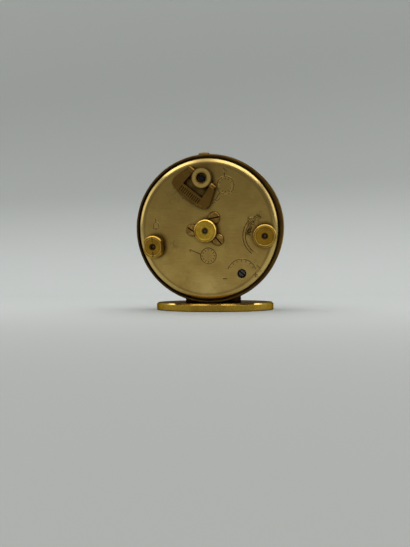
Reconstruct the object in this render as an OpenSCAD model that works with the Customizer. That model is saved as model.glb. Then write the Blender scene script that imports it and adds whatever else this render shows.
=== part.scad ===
// A small round brass travel alarm clock on an oval foot, with its whole movement.
// Up is +Z, the dial faces -Y and the back faces +Y, and the origin is the middle
// of the foot's underside. The clock itself is drawn lying on its face, dial down
// at z = 0 and back cover on top, and is then stood up and leant back.

/* [Case] */
// Outer diameter of the case band
case_d = 54; // [50:0.5:60]
// Thickness of the case band
case_wall = 1; // [0.8:0.1:1.1]
// How far the bezel stands proud of the case band
bezel_proud = 0.4; // [0.2:0.1:1]
// Depth of the bezel, front edge to the end of its skirt
bezel_h = 3.4; // [3:0.1:4]
// Wall of the bezel's skirt where it laps the band
bezel_lap = 0.6; // [0.4:0.1:0.7]
// Distance from the band's outer face in to the back cover
cover_inset = 1.5; // [1.3:0.05:1.9]
// Sheet thickness of the back cover
cover_t = 0.6; // [0.4:0.1:0.8]
// Radius of the back cover's turned edge
cover_edge = 1.8; // [1.2:0.1:2]
// Open gap round the back cover
cover_gap = 0.35; // [0.25:0.05:0.4]
// Thickness of the ledge that the back cover and the movement are clamped to
ledge_t = 0.8; // [0.6:0.1:1]
// Radius over which the band rounds in to its back lip
shoulder_len = 3.7; // [2.5:0.1:4.5]
// Angle by which the clock leans back
lean = 8.5; // [4:0.5:14]

/* [Glass and dial] */
// Thickness of the glass
glass_t = 0.7; // [0.5:0.1:0.9]
// Rise of the glass dome
glass_rise = 1.2; // [0.8:0.1:1.3]
// Depth of the dial face behind the bezel's front edge
dial_depth = 3.4; // [3.4:0.1:4.2]
// Thickness of the dial
dial_t = 0.4; // [0.3:0.1:0.6]
// Length of the minute hand from the centre
minute_len = 19; // [14:0.5:20.5]
// Length of the hour hand from the centre
hour_len = 13; // [9:0.5:16]
// Length of the alarm hand from the centre
alarm_len = 8.5; // [6:0.5:12]

/* [Foot] */
// Width of the oval foot
foot_w = 46; // [40:0.2:52]
// Depth of the oval foot, front to back
foot_depth = 26; // [22:0.5:32]
// Thickness of the foot
foot_t = 2.9; // [2.5:0.1:4]
// Chamfer round the foot's upper edge
foot_edge = 0.55; // [0.2:0.05:0.8]
// Least gap between the case band and the foot
foot_gap = 0.4; // [0.3:0.1:1]
// Width of the saddle under the case
saddle_w = 21.5; // [18:0.5:24]
// Depth of the saddle, front to back
saddle_len = 8; // [7:0.5:10]
// How far the saddle sits behind the middle of the foot
saddle_back = 2; // [0:0.5:3]
// Radius of the two foot screws
foot_screw_r = 0.9; // [0.7:0.1:1.1]

/* [Movement frame] */
// Space between the dial and the front plate
motion_h = 2.8; // [2.8:0.1:3.4]
// Thickness of the front plate
front_plate_t = 1; // [0.8:0.1:1.4]
// Space between the two plates
train_h = 5; // [5:0.1:6]
// Thickness of the back plate
back_plate_t = 1.2; // [1:0.1:1.6]
// Space between the back plate and the back cover
back_space = 2.6; // [2.6:0.1:3.2]
// Gap between the front plate and the case band
front_plate_gap = 3.5; // [3:0.1:3.8]
// Radius of the pillars between the plates
pillar_r = 1.4; // [1:0.1:1.6]

/* [Knobs] */
// Radius of the hand setting knob in the middle
set_knob_r = 4.05; // [3:0.05:4.2]
// Height of the hand setting knob
set_knob_h = 3.4; // [2.8:0.1:4.5]
// Radius of the alarm setting knob
alarm_knob_r = 4.1; // [3:0.05:4.2]
// Height of the alarm setting knob
alarm_knob_h = 3.7; // [2.8:0.1:4.5]
// Radius of the alarm switch knob
switch_knob_r = 4.1; // [3.4:0.05:4.4]
// Width across the two flats of the alarm switch knob
switch_flats = 6.3; // [5:0.1:7]
// Height of the alarm switch knob
switch_knob_h = 4.2; // [3:0.1:5]
// Gap between the knobs and the back cover
knob_gap = 0.3; // [0.2:0.05:0.6]

/* [Winding key] */
// Radius of the winding post
post_r = 3.55; // [3:0.05:3.7]
// Height of the winding post above the back cover
post_h = 2.3; // [2:0.1:3]
// Radius of the recess in the winding post
post_hole_r = 1.85; // [1.5:0.05:1.9]
// Reach of the folding key from its pivot to its far edge
key_reach = 8.4; // [7.6:0.1:9]
// Half the widest width of the folding key
key_half_w = 8; // [7.4:0.1:8.4]
// Thickness of the folding key
key_t = 1; // [0.8:0.1:1.2]
// Width of the folding key's long bar
key_bar = 3; // [2:0.1:3.2]

/* [Hidden] */
$fn = 64;

// Small amount by which cutting tools pass through what they cut
over = 0.5;
// Radial clearance of a shaft that turns in a hole
run = 0.05;
// End play between an arbor's shoulders and the plates
endshake = 0.12;

// Heights through the clock, dial side at 0
z_dial_back = dial_depth + dial_t;
z_front = z_dial_back + motion_h;
z_train = z_front + front_plate_t;
z_back_plate = z_train + train_h;
z_bridge = z_back_plate + back_plate_t;
z_cover = z_bridge + back_space;
z_face = z_cover + cover_t;
z_ledge = z_bridge + ledge_t;
z_lip = z_face - 0.8;
z_shoulder = z_lip - shoulder_len;
z_glass = 1.3;
z_ring = z_glass + glass_t;

// Radii of the case
case_r = case_d / 2;
// Plan size of the movement, 1 for a case of 54 mm
plan = case_d / 54;
band_in_r = case_r - case_wall;
cover_r = case_r - cover_inset;
lip_in_r = cover_r + cover_gap;
lip_t = 0.45;
lip_r = lip_in_r + lip_t;
ledge_r = cover_r - cover_t - 0.2;
bezel_r = case_r + bezel_proud;
skirt_in_r = case_r - bezel_lap;
glass_r = cover_r - 0.6;
glass_lip_r = glass_r - 1;
dial_r = band_in_r - 0.3;
back_plate_r = band_in_r - 0.2;
front_plate_r = band_in_r - front_plate_gap;

// Where the clock's own axis starts, so that the band's lowest line clears the foot
axis_z = foot_t + foot_gap + case_r * cos(lean) + z_shoulder * sin(lean);
saddle_z = (z_shoulder + bezel_h) / 2;
axis_y = saddle_back - saddle_z * cos(lean) + case_r * sin(lean);

// Gear sizes: teeth and module of each pair
barrel_teeth = 72;
centre_leaves = 12;
barrel_m = 0.3 * plan;
centre_teeth = 60;
third_leaves = 8;
centre_m = 0.26 * plan;
third_teeth = 64;
fourth_leaves = 8;
third_m = 0.22 * plan;
fourth_teeth = 70;
escape_leaves = 7;
fourth_m = 0.18 * plan;
cannon_leaves = 12;
minute_teeth = 36;
cannon_m = 0.3 * plan;
minute_leaves = 10;
hour_teeth = 40;
ratchet_teeth = 30;
winding_leaves = 16;
ratchet_m = 0.5 * plan;
alarm_teeth = 44;
idler_teeth = 28;
alarm_leaves = 17;
escape_teeth = 15;
escape_r = 3.6 * plan;

function gear_distance(za, zb, m) = (za + zb) * m / 2;
function polar(r, a) = [r * cos(a), r * sin(a)];
function direction(p, q) = atan2(q[1] - p[1], q[0] - p[0]);
// The point at distance ra from p and rb from q, on the left of the line from p to q
function meet(p, ra, q, rb) =
    let (d = norm(q - p), a = (ra * ra - rb * rb + d * d) / (2 * d), h = sqrt(ra * ra - a * a),
         u = (q - p) / d)
    p + a * u + h * [-u[1], u[0]];
// Turn of a driven gear, so that its gap meets the driving gear's tooth
function mesh_turn(beta, turn_a, za, zb) = beta + 180 - 180 / zb + (beta - turn_a) * za / zb;

// Places on the back of the clock
hub = [0, 0];
post_at = [-0.8, 18.3] * plan;
alarm_at = [20.7, -2.4] * plan;
switch_at = [-19.1, -5.1] * plan;
regulator_at = [12.2, -15.7] * plan;
balance_at = [9.6, -11] * plan;
hammer_at = [13.5, 8] * plan;
screw_ring_r = 5.25 * plan;
screw_turns = [57, 177, -40];
pillar_ring_r = 20.3 * plan;
pillar_turns = [45, 175, 225, -28];

// Places of the wheels, worked out from the gear sizes
barrel_d0 = gear_distance(barrel_teeth, centre_leaves, barrel_m);
winding_d0 = gear_distance(ratchet_teeth, winding_leaves, ratchet_m);
barrel_at = meet(hub, barrel_d0, post_at, winding_d0);
third_turn = -82;
third_at = hub + polar(gear_distance(centre_teeth, third_leaves, centre_m), third_turn);
fourth_at = third_at + polar(gear_distance(third_teeth, fourth_leaves, third_m), -135);
escape_at = fourth_at + polar(gear_distance(fourth_teeth, escape_leaves, fourth_m), -20);
pallet_reach = 4.3 * plan;
fork_reach = 6.5 * plan;
pallet_at = meet(balance_at, fork_reach, escape_at, pallet_reach);
cannon_d0 = gear_distance(cannon_leaves, minute_teeth, cannon_m);
minute_at = hub + polar(cannon_d0, 110);
hour_m = 2 * cannon_d0 / (minute_leaves + hour_teeth);
alarm_m = 2 * norm(alarm_at - hub) / (alarm_teeth + 2 * idler_teeth + alarm_leaves);
alarm_line = direction(hub, alarm_at);
idler_at = hub + polar(gear_distance(alarm_teeth, idler_teeth, alarm_m), alarm_line);

// Turns of the gears at rest, each from the one that drives it
winding_turn0 = 0;
ratchet_turn0 = mesh_turn(direction(post_at, barrel_at), winding_turn0, winding_leaves, ratchet_teeth);
barrel_turn0 = 0;
centre_turn0 = mesh_turn(direction(barrel_at, hub), barrel_turn0, barrel_teeth, centre_leaves);
third_turn0 = mesh_turn(third_turn, 0, centre_teeth, third_leaves);
fourth_turn0 = mesh_turn(direction(third_at, fourth_at), 0, third_teeth, fourth_leaves);
escape_turn0 = mesh_turn(direction(fourth_at, escape_at), 0, fourth_teeth, escape_leaves);
minute_turn0 = mesh_turn(direction(hub, minute_at), 0, cannon_leaves, minute_teeth);
hour_turn0 = mesh_turn(direction(minute_at, hub), 0, minute_leaves, hour_teeth);
idler_turn0 = mesh_turn(alarm_line, 0, alarm_teeth, idler_teeth);
alarm_set_turn0 = mesh_turn(alarm_line, idler_turn0, idler_teeth, alarm_leaves);

// Radii of shafts and pipes
pivot_r = 0.25;
arbor_r = 0.45;
centre_r = 0.5;
cannon_pipe_r = 0.85;
hour_pipe_r = 1.2;
alarm_pipe_r = 1.6;
centre_tube_r = 0.95;
winding_r = 1;
barrel_arbor_r = 1.2;
barrel_hub_r = 1.5;
set_arbor_r = 0.8;

// Heights of the hands and of the wheels behind the dial
hand_t = 0.2;
z_minute_hand = z_ring - 0.1;
z_hour_hand = z_minute_hand + 0.45;
z_alarm_hand = z_hour_hand + 0.45;
z_alarm_wheel = z_dial_back + 0.3;
z_hour_wheel = z_alarm_wheel + 0.7;
z_minute_wheel = z_hour_wheel + 0.8;
wheel_t = 0.4;
pinion_over = 0.15;

// Heights of the going train
z_barrel = z_train + 0.3;
barrel_gear_t = 0.8;
barrel_wall = 0.7;
barrel_r = barrel_teeth * barrel_m / 2 - 0.8;
barrel_h = 2;
z_lid = z_barrel + barrel_gear_t + barrel_h;
lid_t = 0.3;
z_centre_wheel = z_lid + lid_t + 0.3;
z_fourth_wheel = z_train + 0.4;
z_third_wheel = z_train + 1.9;
z_escape = z_train + 2.9;
z_lever = z_train + 2.4;
lever_t = 0.3;
z_roller = z_escape + wheel_t + 0.05;
roller_t = 0.3;
z_balance = z_back_plate - 1.2;
rim_t = 0.7;
balance_r = 5.8 * plan;
rim_w = 0.8;
spring_hole_r = 4.6 * plan;
spring_h = 0.4;
z_hairspring = z_back_plate + 0.3;

// Heights behind the back plate
z_ratchet = z_bridge + 0.3;
ratchet_t = 1;
cock_t = 0.9;
z_index = z_bridge + cock_t + 0.05;
index_t = 0.4;
boss_r = 1.1;
screw_head_h = 0.7;
screw_head_r = 2.1;
screw_r = 0.7;
screw_slot = 0.45;

// Stands the clock up on its foot and leans it back
module in_clock() {
    translate([0, axis_y, axis_z]) rotate([90 + lean, 0, 180]) children();
}
module at(p, z = 0) {
    translate([p[0], p[1], z]) children();
}
// A round bar along z between two heights
module rod(r, z0, z1, n = 32) {
    translate([0, 0, z0]) cylinder(r = r, h = z1 - z0, $fn = n);
}
// A flat bar between two points of the plan, with round ends
module bar(p, q, w, z0, t) {
    at(p, z0) cylinder(r = w / 2, h = t, $fn = 32);
    at(q, z0) cylinder(r = w / 2, h = t, $fn = 32);
    at(p, z0) rotate([0, 0, direction(p, q)]) translate([0, -w / 2, 0]) cube([norm(q - p), w, t]);
}
// Outline of a gear: root, flank and tip on each side of every tooth
function tooth_points(z, m, add, fill, tip, root) =
    let (half = 90 / z * fill, rp = z * m / 2)
    [for (k = [0 : z - 1]) for (c = [[rp - 1.3 * m, -root], [rp, -1], [rp + add * m, -tip],
                                     [rp + add * m, tip], [rp, 1], [rp - 1.3 * m, root]])
        polar(c[0], 360 * k / z + c[1] * half)];
function wheel_points(z, m) = tooth_points(z, m, 0.95, 0.84, 0.4, 1.05);
function pinion_points(z, m) = tooth_points(z, m, 0.75, 0.74, 0.35, 0.85);
// A wheel with five round windows and a bore
module wheel(z, m, t, bore_r, turn = 0, windows = 5) {
    r = z * m / 2;
    rotate([0, 0, turn]) linear_extrude(height = t) difference() {
        polygon(wheel_points(z, m));
        circle(r = bore_r, $fn = 32);
        if (windows > 0) for (k = [0 : windows - 1])
            rotate(360 * (k + 0.5) / windows) translate([r * 0.56, 0]) circle(r = r * 0.24, $fn = 32);
    }
}
module pinion(z, m, t, bore_r, turn = 0) {
    rotate([0, 0, turn]) linear_extrude(height = t) difference() {
        polygon(pinion_points(z, m));
        if (bore_r > 0) circle(r = bore_r, $fn = 32);
    }
}
// An arbor between the plates, with a thinner pivot at each end
module train_arbor(r = arbor_r) {
    rod(r, z_train + endshake, z_back_plate - endshake);
    rod(pivot_r, z_front + 0.2, z_bridge - 0.2);
}
// A spiral band in plan, from the inner radius to the outer one
function spiral_points(r0, r1, turns, t, step) =
    let (n = round(turns * 360 / step))
    concat([for (k = [0 : n]) polar(r0 + (r1 - r0) * k / n, k * step)],
           [for (k = [n : -1 : 0]) polar(r0 + (r1 - r0) * k / n + t, k * step)]);
// A slotted screw standing on its head's seat: head above z = 0 and shank below
module slotted_screw(head_r, head_h, shank_r, shank_len, turn = 0) {
    difference() {
        union() {
            rotate_extrude() polygon([[0, 0], [head_r, 0], [head_r, head_h * 0.6],
                [head_r - head_h * 0.35, head_h], [0, head_h]]);
            rod(shank_r, -shank_len, 0);
        }
        rotate([0, 0, turn]) translate([-head_r - over, -screw_slot / 2, head_h * 0.4])
            cube([2 * (head_r + over), screw_slot, head_h]);
    }
}

// Foot and saddle
function oval(w, d, n = 96) = [for (k = [0 : n - 1]) [w / 2 * cos(360 * k / n), d / 2 * sin(360 * k / n)]];
foot_screw_x = saddle_w * 0.275;
foot_head_r = foot_screw_r * 2;
foot_head_h = foot_head_r - foot_screw_r;
nut_t = 1.4;
nut_len = saddle_len - 2;
module foot_screw_places() {
    for (s = [-1, 1]) translate([s * foot_screw_x, saddle_back, 0]) children();
}
// Oval slab with a chamfered upper edge, as three rings of points
module oval_slab() {
    n = 96;
    low = 0.25;
    rings = [[low, 0], [0, low], [0, foot_t - foot_edge], [foot_edge, foot_t]];
    last = len(rings) - 1;
    polyhedron(
        points = [for (g = rings) for (p = oval(foot_w - 2 * g[0], foot_depth - 2 * g[0], n)) [p[0], p[1], g[1]]],
        faces = concat([[for (k = [0 : n - 1]) k]], [[for (k = [n - 1 : -1 : 0]) last * n + k]],
            [for (g = [0 : last - 1]) for (k = [0 : n - 1])
                [g * n + k, g * n + n + k, g * n + n + (k + 1) % n, g * n + (k + 1) % n]]));
}
module foot_plate() {
    color([0.47, 0.38, 0.14]) difference() {
        oval_slab();
        foot_screw_places() rod(foot_screw_r, -over, foot_t + over);
        foot_screw_places() rod(foot_head_r + run, -over, foot_head_h + 0.2);
    }
}
module foot_screws() {
    color([0.45, 0.42, 0.36]) foot_screw_places() translate([0, 0, foot_head_h + 0.2])
        rotate([180, 0, 0]) slotted_screw(foot_head_r, foot_head_h, foot_screw_r,
            foot_gap + foot_t + case_wall + nut_t + 0.9);
}
module saddle_block(h) {
    r = saddle_len / 2;
    translate([0, saddle_back, foot_t]) {
        translate([-(saddle_w / 2 - r), -r, 0]) cube([saddle_w - saddle_len, saddle_len, h]);
        for (s = [-1, 1]) translate([s * (saddle_w / 2 - r), 0, 0]) cylinder(r = r, h = h);
    }
}
module saddle() {
    color([0.35, 0.25, 0.12]) difference() {
        saddle_block(3.4);
        in_clock() rod(case_r, -over, z_face + over, 128);
        foot_screw_places() rod(foot_screw_r, 0, foot_t + 6);
    }
}
// Curved bar inside the band that takes the two foot screws
module foot_nut() {
    color([0.5, 0.42, 0.2]) difference() {
        in_clock() intersection() {
            difference() {
                rod(band_in_r, saddle_z - nut_len / 2, saddle_z + nut_len / 2, 128);
                rod(band_in_r - nut_t, 0, z_face, 128);
            }
            translate([-saddle_w * 0.45, -case_r, 0]) cube([saddle_w * 0.9, case_r, z_face]);
        }
        foot_screw_places() rod(foot_screw_r, 0, foot_t + 8);
    }
}

// Case
shoulder_steps = 10;
function band_shoulder() = [for (k = [0 : shoulder_steps]) let (a = 90 * k / shoulder_steps)
    [lip_r + (case_r - lip_r) * cos(a), z_shoulder + shoulder_len * sin(a)]];
button_at = [-1.2, 0] * plan;
z_button = (z_train + z_back_plate) / 2 - 0.6;
button_r = 2.1;
module case_band() {
    color([0.31, 0.24, 0.12]) difference() {
        in_clock() rotate_extrude($fn = 128) polygon(concat(
            [[band_in_r, z_ring], [skirt_in_r, z_ring], [skirt_in_r, bezel_h], [case_r, bezel_h]],
            band_shoulder(),
            [[lip_in_r, z_lip], [lip_in_r, z_ledge], [ledge_r, z_ledge], [ledge_r, z_bridge],
             [band_in_r, z_bridge]]));
        in_clock() translate([button_at[0], case_r - 6, z_button]) rotate([-90, 0, 0])
            rod(button_r + run, 0, 8);
        foot_screw_places() rod(foot_screw_r, 0, foot_t + 6);
    }
}
// Turned bezel with a round front bead, which holds the glass
bead_steps = 8;
bead_w = 1.5;
module bezel() {
    bead_c = bezel_r - bead_w;
    color([0.6, 0.48, 0.2]) in_clock() rotate_extrude($fn = 128) polygon(concat(
        [[skirt_in_r, z_ring], [skirt_in_r, bezel_h], [case_r + 0.2, bezel_h], [bezel_r, bezel_h - 0.7]],
        [for (k = [0 : bead_steps]) let (a = 90 * k / bead_steps)
            [bead_c + bead_w * cos(a), bead_w - bead_w * sin(a)]],
        [[bead_c - 0.4, 0.35], [glass_lip_r + 0.5, 0.5], [glass_lip_r, 0.9], [glass_lip_r, z_glass],
         [glass_r, z_glass], [glass_r, z_ring]]));
}
glass_steps = 10;
dome_r = glass_lip_r - 0.1;
function dome(z_edge) = [for (k = [0 : glass_steps]) let (q = k / glass_steps)
    [dome_r * q, z_edge - glass_rise * (1 - q * q)]];
module glass() {
    color([0.85, 0.9, 0.92, 0.35]) in_clock() rotate_extrude($fn = 128) polygon(concat(
        dome(z_ring), [[glass_r, z_ring], [glass_r, z_glass]],
        [for (k = [glass_steps : -1 : 0]) dome(z_glass)[k]]));
}
module dial_ring() {
    color([0.75, 0.62, 0.3]) in_clock() rotate_extrude($fn = 128) polygon([
        [glass_lip_r + 0.1, z_ring], [band_in_r - 0.1, z_ring], [band_in_r - 0.1, dial_depth],
        [glass_r - 0.2, dial_depth]]);
}
dial_foot_r = 0.5;
dial_foot_ring = 19.5 * plan;
module dial_foot_places() {
    for (a = [75, 255]) at(polar(dial_foot_ring, a)) children();
}
module dial() {
    color([0.93, 0.9, 0.8]) in_clock() difference() {
        rod(dial_r, dial_depth, z_dial_back, 128);
        rod(alarm_pipe_r + 0.3, 0, z_front);
    }
}
module dial_feet() {
    color([0.6, 0.5, 0.25]) in_clock() dial_foot_places() rod(dial_foot_r, z_dial_back, z_train);
}

// Hands: a round eye with a tapered blade
module hand(len, w, tip_w, eye_r, bore_r, z) {
    translate([0, 0, z]) linear_extrude(height = hand_t) difference() {
        union() {
            circle(r = eye_r);
            polygon([[-w / 2, 0], [-w * 0.7, len * 0.55], [-tip_w / 2, len], [tip_w / 2, len],
                [w * 0.7, len * 0.55], [w / 2, 0]]);
            polygon([[-w / 2, 0], [-w * 0.7, -len * 0.16], [w * 0.7, -len * 0.16], [w / 2, 0]]);
        }
        circle(r = bore_r, $fn = 32);
    }
}
// Hands show ten past ten, and the alarm hand points to eight, seen from the dial side
minute_turn = -60;
hour_turn = 55;
alarm_turn = 120;
module minute_hand() {
    color([0.12, 0.1, 0.08]) in_clock() rotate([0, 0, -minute_turn])
        hand(minute_len, 1, 0.35, 1.5, cannon_pipe_r, z_minute_hand);
}
module hour_hand() {
    color([0.12, 0.1, 0.08]) in_clock() rotate([0, 0, -hour_turn])
        hand(hour_len, 1.3, 0.45, 1.9, hour_pipe_r, z_hour_hand);
}
module alarm_hand() {
    color([0.6, 0.45, 0.15]) in_clock() rotate([0, 0, -alarm_turn])
        hand(alarm_len, 0.7, 0.3, 2.2, alarm_pipe_r, z_alarm_hand);
}

// Back cover: a shallow pan with a round edge
cover_hole_gap = 0.25;
regulator_hole_r = 1.65;
edge_steps = 8;
function cover_edge_points(r, z) = [for (k = [0 : edge_steps]) let (a = 90 * k / edge_steps)
    [r - cover_edge + cover_edge * sin(a), z - cover_edge + cover_edge * cos(a)]];
module screw_places(z) {
    for (a = screw_turns) at(polar(screw_ring_r, a), z) rotate([0, 0, a]) children();
}
module back_cover() {
    inner_edge = [for (k = [edge_steps : -1 : 0]) let (a = 90 * k / edge_steps)
        [cover_r - cover_edge + (cover_edge - cover_t) * sin(a),
         z_face - cover_edge + (cover_edge - cover_t) * cos(a)]];
    color([0.5, 0.41, 0.2]) in_clock() difference() {
        rotate_extrude($fn = 128) polygon(concat([[0, z_cover], [0, z_face]],
            cover_edge_points(cover_r, z_face), [[cover_r, z_ledge], [cover_r - cover_t, z_ledge]],
            inner_edge));
        at(post_at) rod(winding_r + cover_hole_gap, z_bridge, z_face + over);
        at(hub) rod(centre_r + cover_hole_gap, z_bridge, z_face + over);
        at(alarm_at) rod(set_arbor_r + cover_hole_gap, z_bridge, z_face + over);
        at(switch_at) rod(set_arbor_r + cover_hole_gap, z_bridge, z_face + over);
        at(regulator_at) rod(regulator_hole_r, z_bridge, z_face + over);
        screw_places(0) rod(screw_r, z_bridge, z_face + over);
    }
}
module cover_posts() {
    color([0.55, 0.45, 0.2]) in_clock() screw_places(0) difference() {
        rod(screw_r + 0.6, z_bridge, z_cover);
        rod(screw_r, z_cover - 2, z_cover + over);
    }
}
module cover_screws() {
    slots = [10, -35, 130];
    color([0.42, 0.34, 0.2]) in_clock() for (k = [0 : 2]) at(polar(screw_ring_r, screw_turns[k]), z_face)
        slotted_screw(screw_head_r, screw_head_h, screw_r, cover_t + 1.8, slots[k]);
}

// Winding post and its folding key
key_turn = -40;
knuckle_r = 0.9;
z_key = z_face + 0.15 + knuckle_r;
key_pin_r = 0.4;
key_gap = 0.2;
leg_in = post_r + key_gap;
leg_out = leg_in + 2.1;
module in_key() {
    at(post_at, z_key) rotate([0, 0, key_turn]) children();
}
z_post_floor = z_face + 0.8;
module winding_post() {
    color([0.5, 0.42, 0.22]) in_clock() difference() {
        at(post_at) rod(post_r, z_face + 0.15, z_face + post_h, 64);
        at(post_at) rod(post_hole_r, z_post_floor, z_face + post_h + over);
        at(post_at) rod(winding_r, z_face, z_face + post_h);
        in_key() rotate([0, 90, 0]) rod(key_pin_r, -post_r - over, post_r + over);
    }
}
module winding_arbor() {
    color([0.4, 0.4, 0.42]) in_clock() at(post_at) {
        rod(winding_r, z_barrel + barrel_gear_t + 0.3, z_post_floor + 0.3);
        rod(pivot_r, z_front + 0.2, z_barrel + barrel_gear_t + 0.3);
        translate([0, 0, z_ratchet]) pinion(winding_leaves, ratchet_m, ratchet_t, 0, winding_turn0);
    }
}
module key_pins() {
    color([0.4, 0.4, 0.42]) in_clock() in_key() for (s = [0, 180])
        rotate([0, 90, s]) rod(key_pin_r, post_hole_r + 0.1, leg_out);
}
// The key lies flat with its long bar away from the pivot, ribbed for the fingers
key_ribs = 11;
rib_pitch = 0.8;
module winding_key() {
    bar_in = key_reach - key_bar;
    chamfer = 0.7;
    color([0.24, 0.19, 0.11]) in_clock() in_key() difference() {
        union() {
            translate([0, 0, -key_t * 0.6]) linear_extrude(height = key_t) difference() {
                polygon([[-leg_out, 0], [-key_half_w, -key_reach * 0.68], [-key_half_w + chamfer * 0.6, -key_reach + chamfer],
                    [-key_half_w + 2.3, -key_reach], [-2.5, -key_reach - 0.35], [2.5, -key_reach - 0.35],
                    [key_half_w - 2.3, -key_reach], [key_half_w - chamfer * 0.6, -key_reach + chamfer],
                    [key_half_w, -key_reach * 0.68], [leg_out, 0]]);
                polygon([[-leg_in, over], [-leg_in - 0.5, -bar_in], [leg_in + 0.5, -bar_in], [leg_in, over]]);
            }
            for (s = [0, 180]) rotate([0, 90, s]) rod(knuckle_r, leg_in, leg_out);
        }
        rotate([0, 90, 0]) rod(key_pin_r + run, -leg_out - over, leg_out + over);
        for (k = [0 : key_ribs - 1])
            translate([(k - (key_ribs - 1) / 2) * rib_pitch - 0.15, -key_reach + 0.4, key_t * 0.4 - 0.2])
                cube([0.3, key_bar - 1.2, 1]);
    }
}

// Knobs: a short neck, a ribbed grip and a flat face with a bevelled rim
knob_ribs = 40;
module knob_body(r, h, bore_r) {
    difference() {
        union() {
            rotate_extrude() polygon([[0, 0], [r * 0.55, 0], [r * 0.55, 0.5], [r - 0.35, 0.5],
                [r - 0.15, 0.75], [r - 0.15, h - 0.4], [r - 0.55, h], [r - 0.85, h], [r - 0.95, h - 0.12],
                [0, h - 0.12]]);
            translate([0, 0, 0.9]) linear_extrude(height = h - 1.5)
                polygon([for (k = [0 : 2 * knob_ribs - 1]) polar(k % 2 == 0 ? r : r - 0.15, 180 * k / knob_ribs)]);
        }
        rod(bore_r, -over, h + over);
    }
}
z_knob = z_face + knob_gap;
knob_sink = 0.5;
module set_knob() {
    color([0.55, 0.43, 0.15]) in_clock() at(hub, z_knob) difference() {
        knob_body(set_knob_r, set_knob_h, centre_r);
        rod(0.92, set_knob_h - 0.7, set_knob_h + over);
    }
}
module alarm_set_knob() {
    color([0.47, 0.35, 0.08]) in_clock() at(alarm_at, z_knob) difference() {
        knob_body(alarm_knob_r, alarm_knob_h, set_arbor_r);
        rod(0.98, alarm_knob_h - 0.8, alarm_knob_h + over);
    }
}
index_w = 0.3;
module alarm_switch_knob() {
    color([0.5, 0.38, 0.12]) in_clock() at(switch_at, z_knob) difference() {
        intersection() {
            knob_body(switch_knob_r, switch_knob_h, set_arbor_r);
            translate([-switch_flats / 2, -switch_knob_r - 1, 0])
                cube([switch_flats, 2 * switch_knob_r + 2, switch_knob_h + 1]);
        }
        rod(0.95, switch_knob_h - 0.8, switch_knob_h + over);
        for (s = [-1, 1]) translate([-index_w / 2, s * (switch_knob_r + 1.2) / 2 - 1, switch_knob_h - 0.35])
            cube([index_w, 2, 1]);
    }
}

// Hand setting arbor with the cannon pinion
module centre_arbor() {
    color([0.5, 0.5, 0.52]) in_clock() at(hub) rod(centre_r, z_minute_hand - 0.3, z_knob + set_knob_h - knob_sink);
}
module cannon_pinion() {
    color([0.6, 0.55, 0.3]) in_clock() at(hub) difference() {
        union() {
            rod(cannon_pipe_r, z_minute_hand - 0.1, z_minute_wheel);
            translate([0, 0, z_minute_wheel - pinion_over]) pinion(cannon_leaves, cannon_m, wheel_t + 2 * pinion_over, 0, 0);
        }
        rod(centre_r, 0, z_front);
    }
}
module minute_wheel() {
    color([0.75, 0.62, 0.25]) in_clock() at(minute_at) difference() {
        union() {
            translate([0, 0, z_minute_wheel]) wheel(minute_teeth, cannon_m, wheel_t, pivot_r, minute_turn0);
            translate([0, 0, z_hour_wheel - 0.1]) pinion(minute_leaves, hour_m, z_minute_wheel - z_hour_wheel + 0.1, 0, 0);
        }
        rod(arbor_r + run, 0, z_front);
    }
}
module minute_stud() {
    color([0.45, 0.45, 0.47]) in_clock() at(minute_at) rod(arbor_r, z_hour_wheel - 0.1, z_train);
}
module hour_wheel() {
    color([0.75, 0.62, 0.25]) in_clock() at(hub) difference() {
        union() {
            translate([0, 0, z_hour_wheel]) wheel(hour_teeth, hour_m, wheel_t, pivot_r, hour_turn0);
            rod(hour_pipe_r, z_hour_hand - 0.1, z_hour_wheel);
        }
        rod(cannon_pipe_r + run, 0, z_front);
    }
}

// Alarm setting gears behind the dial
module alarm_wheel() {
    color([0.75, 0.62, 0.25]) in_clock() at(hub) difference() {
        union() {
            translate([0, 0, z_alarm_wheel]) wheel(alarm_teeth, alarm_m, wheel_t, pivot_r, 0);
            rod(alarm_pipe_r, z_alarm_hand - 0.05, z_alarm_wheel);
        }
        rod(hour_pipe_r + run, 0, z_front);
    }
}
module alarm_idler() {
    color([0.75, 0.62, 0.25]) in_clock() at(idler_at, z_alarm_wheel)
        wheel(idler_teeth, alarm_m, wheel_t, arbor_r + run, idler_turn0);
}
module idler_stud() {
    color([0.45, 0.45, 0.47]) in_clock() at(idler_at) {
        rod(arbor_r, z_alarm_wheel - 0.1, z_train);
        rod(arbor_r + 0.5, z_alarm_wheel + wheel_t + 0.05, z_front);
    }
}
module alarm_set_arbor() {
    color([0.5, 0.5, 0.52]) in_clock() at(alarm_at) {
        rod(set_arbor_r, z_alarm_wheel + wheel_t, z_knob + alarm_knob_h - 1);
        translate([0, 0, z_alarm_wheel]) pinion(alarm_leaves, alarm_m, wheel_t + 0.2, 0, alarm_set_turn0);
    }
}
// Alarm switch: its cam sits between the back plate and the cover
cam_r = 2.2;
cam_throw = 0.6;
module alarm_switch_arbor() {
    color([0.5, 0.5, 0.52]) in_clock() at(switch_at) {
        rod(set_arbor_r, z_front + 0.2, z_knob + switch_knob_h - 1);
        translate([0, cam_throw, z_bridge + 0.3]) cylinder(r = cam_r, h = 0.8);
    }
}

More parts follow.
